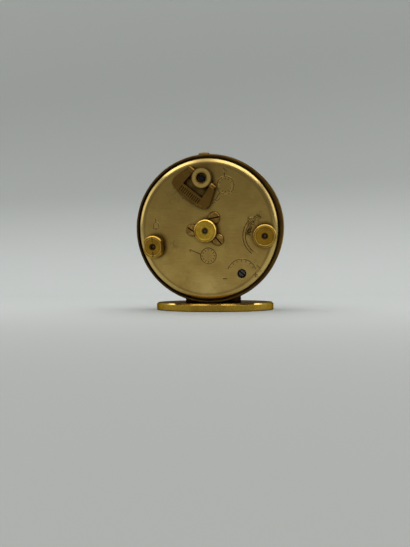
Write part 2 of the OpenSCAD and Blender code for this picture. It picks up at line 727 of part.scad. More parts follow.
// Stop button in the top of the band, with the lever that it pushes
button_travel = 0.8;
button_proud = 1.05;
button_flange_y = sqrt(pow(band_in_r, 2) - pow(abs(button_at[0]) + button_r + 0.5, 2)) - 0.15;
button_end_y = button_flange_y - 1.5;
module stop_button() {
    color([0.33, 0.27, 0.18]) in_clock() translate([button_at[0], 0, z_button]) rotate([-90, 0, 0]) {
        rotate_extrude() polygon([[0, button_end_y], [1, button_end_y], [1, button_flange_y - 0.6],
            [button_r + 0.5, button_flange_y - 0.6], [button_r + 0.5, button_flange_y],
            [button_r, button_flange_y], [button_r, case_r + button_proud - 0.5],
            [button_r - 0.2, case_r + button_proud - 0.15], [button_r - 0.7, case_r + button_proud],
            [0, case_r + button_proud]]);
    }
}
stop_pivot = [5.5, 20.6] * plan;
lever_w = 1.2;
stop_tail = [3.4, -1.6] * plan;
lever_tip = [button_at[0], button_end_y - 0.1 - lever_w / 2];
module stop_lever() {
    z0 = z_button - 0.25;
    color([0.5, 0.5, 0.52]) in_clock() {
        bar(stop_pivot, lever_tip, lever_w, z0, 0.5);
        bar(stop_pivot, stop_pivot + stop_tail, lever_w, z0, 0.5);
        at(stop_pivot) rod(0.9, z_train + endshake, z_back_plate - endshake);
        at(stop_pivot) rod(arbor_r, z_front + 0.2, z_bridge - 0.2);
    }
}

// Plates and pillars
wheel_places = [third_at, fourth_at, escape_at, pallet_at];
module pillar_places() {
    for (a = pillar_turns) at(polar(pillar_ring_r, a)) children();
}
pillar_screw_r = 0.6;
module front_plate() {
    color([0.7, 0.58, 0.28]) in_clock() difference() {
        rod(front_plate_r, z_front, z_train, 128);
        for (p = wheel_places) at(p) rod(pivot_r + run, z_front - over, z_train + over);
        at(balance_at) rod(pivot_r + run, z_front - over, z_train + over);
        at(hammer_at) rod(pivot_r + run, z_front - over, z_train + over);
        at(stop_pivot) rod(arbor_r + run, z_front - over, z_train + over);
        at(hub) rod(centre_tube_r + run, z_front - over, z_train + over);
        at(post_at) rod(pivot_r + run, z_front - over, z_train + over);
        at(barrel_at) rod(barrel_arbor_r + run, z_front - over, z_train + over);
        at(alarm_at) rod(set_arbor_r + run, z_front - over, z_train + over);
        at(switch_at) rod(set_arbor_r + run, z_front - over, z_train + over);
        at(minute_at) rod(arbor_r, z_front - over, z_train + over);
        at(idler_at) rod(arbor_r, z_front - over, z_train + over);
        dial_foot_places() rod(dial_foot_r, z_front - over, z_train + over);
    }
}
module back_plate() {
    color([0.7, 0.58, 0.28]) in_clock() difference() {
        rod(back_plate_r, z_back_plate, z_bridge, 128);
        for (p = wheel_places) at(p) rod(pivot_r + run, z_back_plate - over, z_bridge + over);
        at(balance_at) rod(spring_hole_r, z_back_plate - over, z_bridge + over);
        at(hammer_at) rod(pivot_r + run, z_back_plate - over, z_bridge + over);
        at(stop_pivot) rod(arbor_r + run, z_back_plate - over, z_bridge + over);
        at(hub) rod(centre_tube_r + run, z_back_plate - over, z_bridge + over);
        at(post_at) rod(winding_r + run, z_back_plate - over, z_bridge + over);
        at(barrel_at) rod(barrel_arbor_r + run, z_back_plate - over, z_bridge + over);
        at(alarm_at) rod(set_arbor_r + run, z_back_plate - over, z_bridge + over);
        at(switch_at) rod(set_arbor_r + run, z_back_plate - over, z_bridge + over);
        at(regulator_at) rod(set_arbor_r + run, z_back_plate - over, z_bridge + over);
        at(click_at) rod(pillar_screw_r, z_back_plate - over, z_bridge + over);
        for (p = cock_screw_places) at(p) rod(pillar_screw_r, z_back_plate - over, z_bridge + over);
        pillar_places() rod(pillar_screw_r, z_back_plate - over, z_bridge + over);
    }
}
module pillars() {
    color([0.7, 0.58, 0.28]) in_clock() pillar_places() difference() {
        rod(pillar_r, z_train, z_back_plate);
        rod(pillar_screw_r, z_back_plate - 2, z_back_plate + over);
    }
}
module pillar_screws() {
    color([0.4, 0.4, 0.42]) in_clock() pillar_places() translate([0, 0, z_bridge])
        slotted_screw(1.2, 0.6, pillar_screw_r, back_plate_t + 1.8, 30);
}

// Barrel with its spring, and the winding wheel on its arbor
module barrel() {
    color([0.72, 0.6, 0.28]) in_clock() at(barrel_at) difference() {
        union() {
            translate([0, 0, z_barrel]) wheel(barrel_teeth, barrel_m, barrel_gear_t, pivot_r, barrel_turn0, 0);
            rod(barrel_r, z_barrel + barrel_gear_t, z_lid, 96);
        }
        rod(barrel_r - barrel_wall, z_barrel + barrel_gear_t, z_lid + over, 96);
        rod(barrel_hub_r + run, z_barrel - over, z_lid + over);
    }
}
module barrel_lid() {
    color([0.72, 0.6, 0.28]) in_clock() at(barrel_at) difference() {
        rod(barrel_r, z_lid, z_lid + lid_t, 96);
        rod(barrel_hub_r + run, z_lid - over, z_lid + lid_t + over);
    }
}
spring_core_r = 2.6 * plan;
module barrel_arbor() {
    color([0.45, 0.45, 0.48]) in_clock() at(barrel_at) {
        difference() {
            rod(barrel_arbor_r, z_front + 0.1, z_ratchet + ratchet_t);
            rod(pillar_screw_r, z_ratchet - 1, z_ratchet + ratchet_t + over);
        }
        rod(barrel_hub_r, z_train + endshake, z_lid + lid_t + 0.1);
        rod(spring_core_r, z_barrel + barrel_gear_t + 0.1, z_lid - 0.1);
    }
}
module mainspring() {
    t = 0.25;
    color([0.35, 0.37, 0.42]) in_clock() at(barrel_at, z_barrel + barrel_gear_t + 0.1)
        linear_extrude(height = barrel_h - 0.2)
            polygon(spiral_points(spring_core_r + 0.1, barrel_r - barrel_wall - t, 8, t, 15));
}
module ratchet_wheel() {
    color([0.6, 0.6, 0.62]) in_clock() at(barrel_at, z_ratchet)
        wheel(ratchet_teeth, ratchet_m, ratchet_t, barrel_arbor_r, ratchet_turn0, 0);
}
module ratchet_screw() {
    color([0.4, 0.4, 0.45]) in_clock() at(barrel_at, z_ratchet + ratchet_t)
        slotted_screw(2.1, 0.6, pillar_screw_r, ratchet_t + 0.8, 70);
}
// Click beside the ratchet wheel, lifted just clear of its teeth
ratchet_tip_r = ratchet_teeth * ratchet_m / 2 + 0.95 * ratchet_m;
click_turn = 215;
click_at = barrel_at + polar(ratchet_tip_r + 2, click_turn - 20);
click_tip = barrel_at + polar(ratchet_tip_r + 0.55, click_turn);
module click() {
    color([0.6, 0.6, 0.62]) in_clock() {
        bar(click_at, click_tip, 0.8, z_ratchet, 0.7);
        at(click_at) rod(1.1, z_bridge, z_ratchet + 0.9);
        at(click_at) rod(pillar_screw_r, z_back_plate + 0.1, z_bridge);
    }
}

// Going train
module centre_wheel() {
    color([0.75, 0.62, 0.25]) in_clock() at(hub) difference() {
        union() {
            rod(centre_tube_r, z_front + 0.1, z_bridge - 0.1);
            rod(centre_tube_r + 0.5, z_train + endshake, z_back_plate - endshake);
            translate([0, 0, z_barrel - 0.1]) pinion(centre_leaves, barrel_m, barrel_gear_t + 0.3, 0, centre_turn0);
            translate([0, 0, z_centre_wheel]) wheel(centre_teeth, centre_m, wheel_t, pivot_r, 0);
        }
        rod(centre_r + run, z_front, z_bridge);
    }
}
module third_wheel() {
    color([0.75, 0.62, 0.25]) in_clock() at(third_at) {
        train_arbor();
        translate([0, 0, z_centre_wheel - 0.3]) pinion(third_leaves, centre_m, wheel_t + 0.6, 0, third_turn0);
        translate([0, 0, z_third_wheel]) wheel(third_teeth, third_m, wheel_t, pivot_r, 0);
    }
}
module fourth_wheel() {
    color([0.75, 0.62, 0.25]) in_clock() at(fourth_at) {
        train_arbor();
        translate([0, 0, z_third_wheel - 0.3]) pinion(fourth_leaves, third_m, wheel_t + 0.6, 0, fourth_turn0);
        translate([0, 0, z_fourth_wheel]) wheel(fourth_teeth, fourth_m, wheel_t, pivot_r, 0);
    }
}
// Escape wheel with raked teeth
function escape_points() = [for (k = [0 : escape_teeth - 1]) let (a = 360 * k / escape_teeth)
    for (c = [[escape_r - 0.9, 0], [escape_r, 9], [escape_r, 12], [escape_r - 0.9, 14]]) polar(c[0], a + c[1])];
module escape_wheel() {
    color([0.75, 0.62, 0.25]) in_clock() at(escape_at) {
        train_arbor(0.35);
        translate([0, 0, z_fourth_wheel - 0.2]) pinion(escape_leaves, fourth_m, wheel_t + 0.4, 0, escape_turn0);
        translate([0, 0, z_escape]) linear_extrude(height = wheel_t) difference() {
            polygon(escape_points());
            for (k = [0 : 3]) rotate(90 * k) translate([1.5, 0]) circle(r = 0.75, $fn = 32);
        }
    }
}
// Pin lever: two pins beside the escape wheel and a fork towards the balance
pin_r = 0.2;
pin_ring = escape_r + 0.35;
pallet_line = direction(escape_at, pallet_at);
pallet_pins = [for (s = [-1, 1]) escape_at + polar(pin_ring, pallet_line + s * 30)];
fork_line = direction(pallet_at, balance_at);
fork_end = pallet_at + polar(fork_reach - 1.7, fork_line);
module pallet_lever() {
    color([0.6, 0.6, 0.63]) in_clock() difference() {
        union() {
            at(pallet_at) train_arbor(0.35);
            for (p = pallet_pins) bar(pallet_at, p, 0.7, z_lever, lever_t);
            for (p = pallet_pins) at(p) rod(pin_r, z_lever, z_escape + wheel_t);
            bar(pallet_at, fork_end, 0.9, z_lever, lever_t);
        }
        at(fork_end, z_lever - over) rotate([0, 0, fork_line]) translate([-0.3, -0.25, 0]) cube([2, 0.5, 1.5]);
    }
}
roller_r = 1.3;
impulse_at = 1.0;
module balance_wheel() {
    color([0.78, 0.66, 0.3]) in_clock() at(balance_at) {
        difference() {
            rod(balance_r, z_balance, z_balance + rim_t, 64);
            rod(balance_r - rim_w, z_balance - over, z_balance + rim_t + over, 64);
        }
        rotate([0, 0, fork_line]) translate([-balance_r + 0.3, -0.5, z_balance + 0.15])
            cube([2 * balance_r - 0.6, 1, rim_t - 0.3]);
        rod(arbor_r, z_train + endshake, z_bridge - 0.15);
        rod(pivot_r, z_front + 0.2, z_index);
        rod(roller_r, z_roller, z_roller + roller_t);
        at(polar(impulse_at, fork_line + 90)) rod(pin_r, z_lever, z_roller);
        rod(0.75, z_hairspring - 0.1, z_hairspring + spring_h);
    }
}
cock_turn = 200;
hairspring_turns = 5.25;
hairspring_r = 3.4 * plan;
hairspring_t = 0.14;
stud_turn = cock_turn + 20;
spring_bore_r = 0.85;
// Radius of the middle of the outer coil where the regulator's two curb pins stand
curb_r = hairspring_r + hairspring_t / 2 - (hairspring_r - spring_bore_r) / hairspring_turns
    * (stud_turn - direction(regulator_at, balance_at)) / 360;
module hairspring() {
    color([0.3, 0.34, 0.45]) in_clock() at(balance_at) {
        translate([0, 0, z_hairspring]) rotate([0, 0, stud_turn - 360 * hairspring_turns])
            linear_extrude(height = spring_h)
                polygon(spiral_points(spring_bore_r, hairspring_r, hairspring_turns, hairspring_t, 15));
        at(polar(hairspring_r + 0.2, stud_turn)) rod(0.3, z_hairspring, z_bridge);
    }
}
// Cock across the opening of the back plate, and the regulator on it
cock_reach = 8.6 * plan;
cock_foot = balance_at + polar(cock_reach, cock_turn);
cock_w = 4.4;
cock_screw_places = [cock_foot];
module balance_cock() {
    color([0.7, 0.58, 0.28]) in_clock() difference() {
        union() {
            bar(balance_at, cock_foot, cock_w, z_bridge, cock_t);
            at(balance_at) rod(boss_r, z_bridge, z_index + index_t + 0.1);
        }
        at(balance_at) rod(pivot_r + run, z_bridge - over, z_index + 0.2);
        for (p = cock_screw_places) at(p) rod(pillar_screw_r, z_bridge - over, z_index + over);
    }
}
module cock_screws() {
    color([0.4, 0.4, 0.45]) in_clock() for (p = cock_screw_places) at(p, z_bridge + cock_t)
        slotted_screw(1.2, 0.6, pillar_screw_r, cock_t + back_plate_t - 0.1, 100);
}
index_line = direction(balance_at, regulator_at);
index_arm = norm(regulator_at - balance_at);
eccentric_r = 0.8;
eccentric_throw = 0.45;
fork_gap = 0.12;
module regulator_index() {
    color([0.62, 0.62, 0.65]) in_clock() at(balance_at, z_index) rotate([0, 0, index_line]) difference() {
        union() {
            cylinder(r = boss_r + 0.8, h = index_t);
            translate([0, -0.6, 0]) cube([index_arm - 1.4, 1.2, index_t]);
            translate([index_arm, 0, 0]) cylinder(r = 2, h = index_t);
            rotate([0, 0, 180]) translate([0, -0.4, 0]) cube([hairspring_r + 0.6, 0.8, index_t]);
            for (s = [-1, 1]) translate([-curb_r + s * 0.28, 0, z_hairspring - z_index])
                cylinder(r = 0.12, h = z_index - z_hairspring + 0.1, $fn = 24);
        }
        translate([0, 0, -over]) cylinder(r = boss_r + run, h = index_t + 2 * over);
        translate([index_arm - 1.3, -eccentric_r - fork_gap, -over])
            cube([4, 2 * (eccentric_r + fork_gap), index_t + 2 * over]);
    }
}
module regulator_screw() {
    head_z = z_index + index_t + 0.05;
    color([0.35, 0.34, 0.33]) in_clock() at(regulator_at) {
        rod(set_arbor_r, z_back_plate + 0.1, z_index);
        rod(set_arbor_r + 0.5, z_bridge + 0.05, z_index - 0.05);
        translate(concat(polar(eccentric_throw, index_line), [z_index - 0.05]))
            cylinder(r = eccentric_r, h = index_t + 0.1, $fn = 32);
        translate([0, 0, head_z]) slotted_screw(1.4, z_cover - 0.3 - head_z, 0.3, 0.1, 140);
    }
}

// Alarm hammer and the post that it strikes
hammer_len = 9 * plan;
hammer_turn = 115;
hammer_head_r = 1.3;
hammer_swing = 8;
head_at = hammer_at + polar(hammer_len, hammer_turn);
sound_r = 1.1;
sound_at = head_at + polar(hammer_head_r + sound_r + hammer_len * sin(hammer_swing) + 0.15, hammer_turn + 90 + hammer_swing / 2);
module alarm_hammer() {
    color([0.55, 0.55, 0.58]) in_clock() {
        at(hammer_at) train_arbor(0.6);
        bar(hammer_at, head_at, 1, z_train + 1.8, 0.6);
        at(head_at) rod(hammer_head_r, z_train + 0.8, z_train + 3.2);
    }
}
module sounding_post() {
    color([0.5, 0.5, 0.53]) in_clock() at(sound_at) rod(sound_r, z_train, z_back_plate);
}

foot_plate();
foot_screws();
saddle();
foot_nut();
case_band();
bezel();
glass();
dial_ring();
dial();
dial_feet();
minute_hand();
hour_hand();
alarm_hand();
back_cover();
cover_posts();
cover_screws();
winding_post();
winding_arbor();
key_pins();
winding_key();
set_knob();
centre_arbor();
cannon_pinion();
minute_wheel();
minute_stud();
hour_wheel();
alarm_wheel();
alarm_idler();
idler_stud();
alarm_set_knob();
alarm_set_arbor();
alarm_switch_knob();
alarm_switch_arbor();
stop_button();
stop_lever();
front_plate();
back_plate();
pillars();
pillar_screws();
barrel();
barrel_lid();
barrel_arbor();
mainspring();
ratchet_wheel();
ratchet_screw();
click();
centre_wheel();
third_wheel();
fourth_wheel();
escape_wheel();
pallet_lever();
balance_wheel();
hairspring();
balance_cock();
cock_screws();
regulator_index();
regulator_screw();
alarm_hammer();
sounding_post();
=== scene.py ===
import math
from collections import namedtuple

import bpy
from mathutils import Matrix, Vector


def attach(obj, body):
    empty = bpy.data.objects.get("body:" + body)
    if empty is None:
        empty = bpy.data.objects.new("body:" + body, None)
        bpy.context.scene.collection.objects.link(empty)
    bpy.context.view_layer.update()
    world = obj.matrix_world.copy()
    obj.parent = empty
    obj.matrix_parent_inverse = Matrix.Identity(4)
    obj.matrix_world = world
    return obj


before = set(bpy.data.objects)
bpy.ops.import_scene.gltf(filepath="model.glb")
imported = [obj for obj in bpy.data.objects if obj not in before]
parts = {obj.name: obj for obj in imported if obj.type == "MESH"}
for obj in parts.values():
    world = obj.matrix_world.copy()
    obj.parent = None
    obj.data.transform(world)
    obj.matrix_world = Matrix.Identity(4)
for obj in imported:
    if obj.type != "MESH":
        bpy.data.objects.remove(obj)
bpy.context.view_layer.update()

# The clock's own axes: millimetres, dial side at 0, looking at the back cover
MM = 0.001
LEAN = math.radians(8.5)
AXIS_Y = -1.872
AXIS_Z = 31.851
Z_FACE = 17.0
Z_DIAL = 3.4
CLOCK_TURN = (math.pi / 2 + LEAN, 0.0, math.pi)
CLOCK = (Matrix.Translation((0, AXIS_Y * MM, AXIS_Z * MM))
         @ Matrix.Rotation(CLOCK_TURN[2], 4, "Z") @ Matrix.Rotation(CLOCK_TURN[0], 4, "X"))

# Middles of what stands on the back cover
HUB = (0.0, 0.0)
POST = (-0.8, 18.3)
ALARM_KNOB = (20.7, -2.4)
SWITCH_KNOB = (-19.1, -5.1)
REGULATOR = (12.2, -15.7)


def on_clock(x, y, z):
    """A point of the clock's own axes, as a point of the scene."""
    return CLOCK @ Vector((x * MM, y * MM, z * MM))


def around(centre, radius, degrees):
    """The point of a circle that stands at an angle."""
    angle = math.radians(degrees)
    return centre[0] + radius * math.cos(angle), centre[1] + radius * math.sin(angle)


# Shader trees
MIX_FIRST, MIX_SECOND, MIX_RESULT = 6, 7, 2  # colour sockets of a Mix node


def put(tree, kind, feeds=None, **settings):
    """A new shader node; feeds are its inputs, each a value or another node's output."""
    made = tree.nodes.new(kind)
    for name, value in settings.items():
        setattr(made, name, value)
    for name, value in (feeds or {}).items():
        feed(tree, made.inputs[name], value)
    return made


def feed(tree, socket, value):
    if isinstance(value, bpy.types.NodeSocket):
        tree.links.new(value, socket)
    else:
        socket.default_value = value


def calc(tree, operation, *terms):
    made = tree.nodes.new("ShaderNodeMath")
    made.operation = operation
    for socket, value in zip(made.inputs, terms):
        feed(tree, socket, value)
    return made.outputs[0]


def times(tree, first, second):
    return calc(tree, "MULTIPLY", first, second)


def larger(tree, first, second):
    return calc(tree, "MAXIMUM", first, second)


def ramp(tree, value, low, high, out_low=0.0, out_high=1.0):
    return put(tree, "ShaderNodeMapRange",
               {"Value": value, "From Min": low, "From Max": high,
                "To Min": out_low, "To Max": out_high},
               interpolation_type="SMOOTHSTEP").outputs[0]


def mixed(tree, share, first, second):
    """A colour between two others."""
    return put(tree, "ShaderNodeMix",
               {"Factor": share, MIX_FIRST: first, MIX_SECOND: second},
               data_type="RGBA", clamp_factor=True).outputs[MIX_RESULT]


def noise(tree, feeds, dimensions="3D"):
    return put(tree, "ShaderNodeTexNoise", feeds, noise_dimensions=dimensions).outputs[0]


def split(tree, vector):
    return put(tree, "ShaderNodeSeparateXYZ", {"Vector": vector}).outputs


def scene_place(tree):
    """Where a point is in the scene, in metres."""
    return put(tree, "ShaderNodeTexCoord").outputs["Object"]


def clock_place(tree):
    """Where a point is on the clock's own axes, in millimetres."""
    moved = put(tree, "ShaderNodeVectorMath",
                {0: scene_place(tree), 1: (0.0, AXIS_Y * MM, AXIS_Z * MM)},
                operation="SUBTRACT").outputs[0]
    turned = put(tree, "ShaderNodeVectorRotate", {"Vector": moved, "Rotation": CLOCK_TURN},
                 rotation_type="EULER_XYZ", invert=True).outputs[0]
    return put(tree, "ShaderNodeVectorMath", {0: turned, "Scale": 1 / MM},
               operation="SCALE").outputs[0]


def spun(tree, angle):
    """The clock's own place, turned about the clock's axis."""
    return put(tree, "ShaderNodeVectorRotate",
               {"Vector": clock_place(tree), "Axis": (0.0, 0.0, 1.0), "Angle": angle}).outputs[0]


def distance_from(tree, axes, x, y):
    """How far a point is from a line along the clock's axis."""
    dx = calc(tree, "SUBTRACT", axes[0], x)
    dy = calc(tree, "SUBTRACT", axes[1], y)
    return calc(tree, "SQRT", calc(tree, "ADD", times(tree, dx, dx), times(tree, dy, dy)))


# Effects that several finishes share
def effect(name, inputs, **outputs):
    """An empty effect group: returns its tree, its named inputs and its named outputs."""
    tree = bpy.data.node_groups.new(name, "ShaderNodeTree")
    for label, value in inputs.items():
        kind = "NodeSocketColor" if isinstance(value, tuple) else "NodeSocketFloat"
        tree.interface.new_socket(label, in_out="INPUT", socket_type=kind).default_value = value
    for label, kind in outputs.items():
        tree.interface.new_socket(label, in_out="OUTPUT", socket_type="NodeSocket" + kind)
    return (tree, tree.nodes.new("NodeGroupInput").outputs,
            tree.nodes.new("NodeGroupOutput").inputs)


def tarnish_effect():
    """Cloudy tarnish and fine specks."""
    tree, given, out = effect("tarnish", {"Cloud Size": 8.0, "Cloud Edge": 0.5,
                                          "Speck Size": 0.4, "Seed": 0.0},
                              Cloud="Float", Speck="Float")
    edge_softness = 0.14
    speck_edge = (0.62, 0.74)
    place = clock_place(tree)
    cloud = noise(tree, {"Vector": place, "W": given["Seed"],
                         "Scale": calc(tree, "DIVIDE", 1.0, given["Cloud Size"]),
                         "Detail": 6.0, "Roughness": 0.62}, "4D")
    speck = noise(tree, {"Vector": place, "W": given["Seed"],
                         "Scale": calc(tree, "DIVIDE", 1.0, given["Speck Size"]),
                         "Detail": 3.0, "Roughness": 0.6}, "4D")
    feed(tree, out["Cloud"], ramp(tree, cloud,
                                  calc(tree, "SUBTRACT", given["Cloud Edge"], edge_softness),
                                  calc(tree, "ADD", given["Cloud Edge"], edge_softness)))
    feed(tree, out["Speck"], ramp(tree, speck, *speck_edge))
    return tree


def turning_effect():
    """Fine rings left by the lathe round one centre."""
    tree, given, out = effect("turning", {"Centre X": 0.0, "Centre Y": 0.0, "Pitch": 0.3},
                              Height="Float")
    even_share = 0.3
    radius = distance_from(tree, split(tree, clock_place(tree)),
                           given["Centre X"], given["Centre Y"])
    phase = calc(tree, "DIVIDE", radius, given["Pitch"])
    uneven = noise(tree, {"W": phase, "Scale": 1.7, "Detail": 3.0}, "1D")
    wave = calc(tree, "SINE", times(tree, phase, 2 * math.pi))
    feed(tree, out["Height"], calc(tree, "ADD", times(tree, wave, even_share), uneven))
    return tree


def brushing_effect():
    """Straight fine lines of a brushed or rolled sheet."""
    tree, given, out = effect("brushing", {"Angle": 0.0, "Line Width": 0.08, "Line Length": 6.0},
                              Height="Float")
    axes = split(tree, spun(tree, given["Angle"]))
    stretched = put(tree, "ShaderNodeCombineXYZ", {
        "X": calc(tree, "DIVIDE", axes[0], given["Line Length"]),
        "Y": calc(tree, "DIVIDE", axes[1], given["Line Width"]),
        "Z": calc(tree, "DIVIDE", axes[2], given["Line Width"])}).outputs[0]
    feed(tree, out["Height"], noise(tree, {"Vector": stretched, "Scale": 1.0, "Detail": 2.0}))
    return tree


def scratches_effect():
    """Scattered hairline scratches in one main direction."""
    tree, given, out = effect("scratches", {"Angle": 0.6, "Spacing": 3.0, "Seed": 0.0},
                              Line="Float")
    bend, stretch = 9.0, 4.0
    hairline = 0.012
    patch_edge = (0.5, 0.62)
    place = spun(tree, given["Angle"])
    bent = noise(tree, {"Vector": place, "Scale": 0.12, "Detail": 2.0})
    axes = split(tree, place)
    across = calc(tree, "DIVIDE", calc(tree, "ADD", axes[1], times(tree, bent, bend)),
                  given["Spacing"])
    along = calc(tree, "DIVIDE", axes[0], times(tree, given["Spacing"], stretch))
    flat = put(tree, "ShaderNodeCombineXYZ",
               {"X": along, "Y": across, "Z": given["Seed"]}).outputs[0]
    cell = put(tree, "ShaderNodeTexVoronoi", {"Vector": flat, "Scale": 1.0},
               feature="DISTANCE_TO_EDGE").outputs[0]
    patch = noise(tree, {"Vector": flat, "Scale": 1.3, "Detail": 2.0})
    feed(tree, out["Line"], times(tree, ramp(tree, cell, hairline, 0.0),
                                  ramp(tree, patch, *patch_edge)))
    return tree


def soft_spot_effect():
    """A soft round mark, broken up by noise."""
    tree, given, out = effect("soft_spot", {"Centre X": 0.0, "Centre Y": 0.0,
                                            "Radius": 3.0, "Break Up": 0.5}, Mask="Float")
    fade = (1.0, 0.1)
    gap_edge = (0.38, 0.66)
    place = clock_place(tree)
    radius = distance_from(tree, split(tree, place), given["Centre X"], given["Centre Y"])
    near = ramp(tree, calc(tree, "DIVIDE", radius, given["Radius"]), *fade)
    broken = noise(tree, {"Vector": place, "Scale": 0.9, "Detail": 4.0, "Roughness": 0.7})
    kept = calc(tree, "ADD", times(tree, ramp(tree, broken, *gap_edge), given["Break Up"]),
                calc(tree, "SUBTRACT", 1.0, given["Break Up"]))
    feed(tree, out["Mask"], times(tree, near, kept))
    return tree


def clock_place_effect():
    """Distance from the clock's own axis and height along it, in millimetres."""
    tree, _, out = effect("clock_place", {}, Radius="Float", Height="Float")
    axes = split(tree, clock_place(tree))
    feed(tree, out["Radius"], distance_from(tree, axes, *HUB))
    feed(tree, out["Height"], axes[2])
    return tree


def ring_belt_effect():
    """A soft ring round one centre."""
    tree, given, out = effect("ring_belt", {"Centre X": 0.0, "Centre Y": 0.0,
                                            "Radius": 3.0, "Width": 0.3}, Mask="Float")
    fade = (0.6, 0.25)
    radius = distance_from(tree, split(tree, clock_place(tree)),
                           given["Centre X"], given["Centre Y"])
    away = calc(tree, "ABSOLUTE", calc(tree, "SUBTRACT", radius, given["Radius"]))
    feed(tree, out["Mask"], ramp(tree, calc(tree, "DIVIDE", away, given["Width"]), *fade))
    return tree


def eased_edge_effect():
    """A normal that rounds sharp edges, and a broken-up mask of those edges, which the finishes use
    for wear and for painted highlights and painted shade on edges.
    """
    tree, given, out = effect("eased_edge", {"Radius": 0.1}, Normal="Vector", Wear="Float")
    turned_away = (0.995, 0.88)
    gap_edge = (0.3, 0.55)
    eased = put(tree, "ShaderNodeBevel", {"Radius": times(tree, given["Radius"], MM)},
                samples=6).outputs[0]
    flat = put(tree, "ShaderNodeNewGeometry").outputs["Normal"]
    turn = put(tree, "ShaderNodeVectorMath", {0: eased, 1: flat},
               operation="DOT_PRODUCT").outputs["Value"]
    broken = noise(tree, {"Vector": clock_place(tree), "Scale": 1.1, "Detail": 4.0})
    feed(tree, out["Normal"], eased)
    feed(tree, out["Wear"], times(tree, ramp(tree, turn, *turned_away),
                                  ramp(tree, broken, *gap_edge)))
    return tree


def crevice_effect():
    """A mask of painted shade and soiling where a surface is closed in by others, as beside a screw
    head or in a slot.
    """
    tree, given, out = effect("crevice_shade", {"Reach": 0.8}, Mask="Float")
    closed_in = (0.95, 0.45)
    openness = put(tree, "ShaderNodeAmbientOcclusion",
                   {"Distance": times(tree, given["Reach"], MM)}, samples=8).outputs["AO"]
    feed(tree, out["Mask"], ramp(tree, openness, *closed_in))
    return tree


def toned_effect():
    """Colour of worn metal: bright metal, tarnish over it, and over that a dark colour for soiling
    and for painted shade.
    """
    tree, given, out = effect("toned", {"Metal": (0.5, 0.4, 0.15, 1), "Tarnish": (0.3, 0.2, 0.1, 1),
                                        "Dirt": (0.05, 0.03, 0.01, 1), "Tarnish Share": 0.3,
                                        "Dirt And Shade Share": 0.1}, Color="Color")
    tarnished = mixed(tree, given["Tarnish Share"], given["Metal"], given["Tarnish"])
    feed(tree, out["Color"], mixed(tree, given["Dirt And Shade Share"], tarnished, given["Dirt"]))
    return tree


EFFECTS = {made.name: made for made in (
    tarnish_effect(), turning_effect(), brushing_effect(), scratches_effect(), soft_spot_effect(),
    clock_place_effect(), ring_belt_effect(), eased_edge_effect(), crevice_effect(),
    toned_effect())}


def lay(tree, name, feeds=None):
    """One of the effect groups, placed in a material with its own values."""
    return put(tree, "ShaderNodeGroup", feeds, node_tree=EFFECTS[name]).outputs


def hue(r, g, b):
    """A colour given as it shows on screen, 0 to 255, as Blender's linear colour."""
    def straight(v):
        v /= 255
        return v / 12.92 if v <= 0.04045 else ((v + 0.055) / 1.055) ** 2.4
    return (straight(r), straight(g), straight(b), 1.0)


def new_material(name, **plain):
    """A material with an empty tree and its shader; plain are values that are the same all over."""
    made = bpy.data.materials.new(name)
    made.use_nodes = True
    tree = made.node_tree
    tree.nodes.clear()
    shader = put(tree, "ShaderNodeBsdfPrincipled")
    put(tree, "ShaderNodeOutputMaterial", {"Surface": shader.outputs[0]})
    for label, value in plain.items():
        shader.inputs[label.replace("_", " ")].default_value = value
    return made, tree, shader


# What a finish is made of. Sizes are in millimetres and angles in radians. A spot or ring with a
# strength below 0 brightens the metal, for rubbed wear and for painted highlights; any other
# darkens it, for stains and for painted shade.
Cloud = namedtuple("Cloud", "size edge strength")
Speck = namedtuple("Speck", "size strength")
Lathe = namedtuple("Lathe", "x y pitch depth mark", defaults=(0.0,))
Brush = namedtuple("Brush", "angle line_width depth mark")
Scratch = namedtuple("Scratch", "angle spacing strength")
Spot = namedtuple("Spot", "x y radius break_up strength")
Ring = namedtuple("Ring", "x y radius width strength")
Edge = namedtuple("Edge", "radius shine dirt", defaults=(0.08, 0.6, 0.0))
CreviceShade = namedtuple("CreviceShade", "reach strength")
Shoulder = namedtuple("Shoulder", "inner outer depth")

# Pale gold that worn edges and painted highlights are mixed towards
RUBBED_AND_HIGHLIGHT = hue(255, 228, 150)
RUBBED_AND_HIGHLIGHT_SHARE = 0.45
SCRATCH_DEPTH = -0.5
SCRATCH_DIRT = 0.25
BRUSH_DIRT_EDGE = (0.42, 0.72)
SLEEK_SHARE = -0.6
TARNISH_ROUGHER = 0.12
DIRT_ROUGHER = 0.3
BUMP_HEIGHT = 0.02


